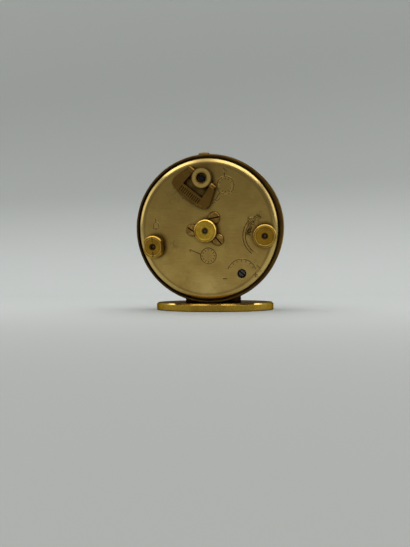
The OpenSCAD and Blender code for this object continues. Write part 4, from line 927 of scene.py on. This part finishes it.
# Floor, light and camera
def backdrop_paint():
    """Pale grey, with painted shade: a little darker on the near floor and up the wall. Each row is
    an axis, where along it the shade starts and is full, in metres, and the shade."""
    y_axis, z_axis = 1, 2
    material, tree, shader = new_material("pale_backdrop", Roughness=0.9)
    axes = split(tree, scene_place(tree))
    tone = hue(190, 193, 191)
    for axis, low, high, shade in ((y_axis, -0.02, 0.14, hue(160, 162, 159)),
                                   (y_axis, 0.2, 0.6, hue(94, 95, 92)),
                                   (z_axis, 0.015, 0.13, hue(184, 187, 184)),
                                   (z_axis, 0.08, 0.2, hue(167, 170, 167))):
        tone = mixed(tree, ramp(tree, axes[axis], low, high), tone, shade)
    feed(tree, shader.inputs["Base Color"], tone)
    return material


def backdrop():
    """One sheet: pale floor, a wide curve and a wall behind the clock."""
    wall_y, bend, height, front, half = -0.19, 0.09, 0.9, 0.9, 1.4
    bend_steps = 16
    profile = [(front, 0.0)]
    for k in range(bend_steps + 1):
        angle = math.pi / 2 * k / bend_steps
        profile.append((wall_y + bend - bend * math.sin(angle), bend - bend * math.cos(angle)))
    profile.append((wall_y, height))
    points, faces = [], []
    for y, z in profile:
        points += [(-half, y, z), (half, y, z)]
    for k in range(0, 2 * len(profile) - 2, 2):
        faces.append((k, k + 1, k + 3, k + 2))
    mesh = new_mesh("backdrop", points, faces, backdrop_paint(), smooth=True)
    place_in_scene("backdrop", mesh)


def soft_box(name, place, aim, size, power):
    lamp = bpy.data.lights.new(name, "AREA")
    lamp.shape, lamp.size, lamp.size_y = "RECTANGLE", size[0], size[1]
    lamp.energy = power
    made = place_in_scene(name, lamp)
    made.location = place
    made.rotation_mode = "QUATERNION"
    made.rotation_quaternion = (Vector(aim) - Vector(place)).to_track_quat("-Z", "Y")


def room_light():
    """A pale room that is brighter above and dimmer behind the camera."""
    world = bpy.data.worlds.new("room")
    bpy.context.scene.world = world
    world.use_nodes = True
    tree = world.node_tree
    tree.nodes.clear()
    way = split(tree, put(tree, "ShaderNodeTexCoord").outputs["Generated"])
    level_light, top_light, back_share = 0.27, 0.4, 0.4
    above = ramp(tree, way[2], -0.2, 0.7, level_light, top_light)
    behind = ramp(tree, way[1], 0.3, 0.92, 1.0, back_share)
    room = put(tree, "ShaderNodeBackground", {"Color": hue(243, 244, 243),
                                              "Strength": times(tree, above, behind)})
    put(tree, "ShaderNodeOutputWorld", {"Surface": room.outputs[0]})


def photo_camera():
    """The camera at the photograph's place, found from the outlines of the clock."""
    sensor, focal_pixels, picture_height = 36, 411, 547
    nearest, farthest = 0.002, 10
    place = (-25.75, 159.61, 13.19)
    yaw, pitch, roll = (math.radians(a) for a in (10.39, 0.31, -0.7))
    data = bpy.data.cameras.new("photo_camera")
    data.sensor_width, data.sensor_fit = sensor, "AUTO"
    data.lens = sensor * focal_pixels / picture_height
    data.clip_start, data.clip_end = nearest, farthest
    made = place_in_scene("photo_camera", data)
    forward = Vector((math.sin(yaw) * math.cos(pitch), -math.cos(yaw) * math.cos(pitch),
                      math.sin(pitch)))
    made.location = Vector(place) * MM
    made.rotation_mode = "QUATERNION"
    level = forward.to_track_quat("-Z", "Y")
    made.rotation_quaternion = level @ Matrix.Rotation(roll, 4, "Z").to_quaternion()
    bpy.context.scene.camera = made


backdrop()
soft_box("ceiling_panel", place=(0.0, 0.17, 0.6), aim=(0, 0.17, 0.0), size=(1.2, 0.75), power=5.4)
soft_box("side_panel_right", place=(-0.5, 0.1, 0.2), aim=(0, 0, 0.03), size=(0.3, 0.3), power=0.34)
soft_box("side_panel_left", place=(0.5, 0.1, 0.2), aim=(0, 0, 0.03), size=(0.3, 0.3), power=0.24)
room_light()
photo_camera()
bpy.context.scene.view_settings.view_transform = "Standard"
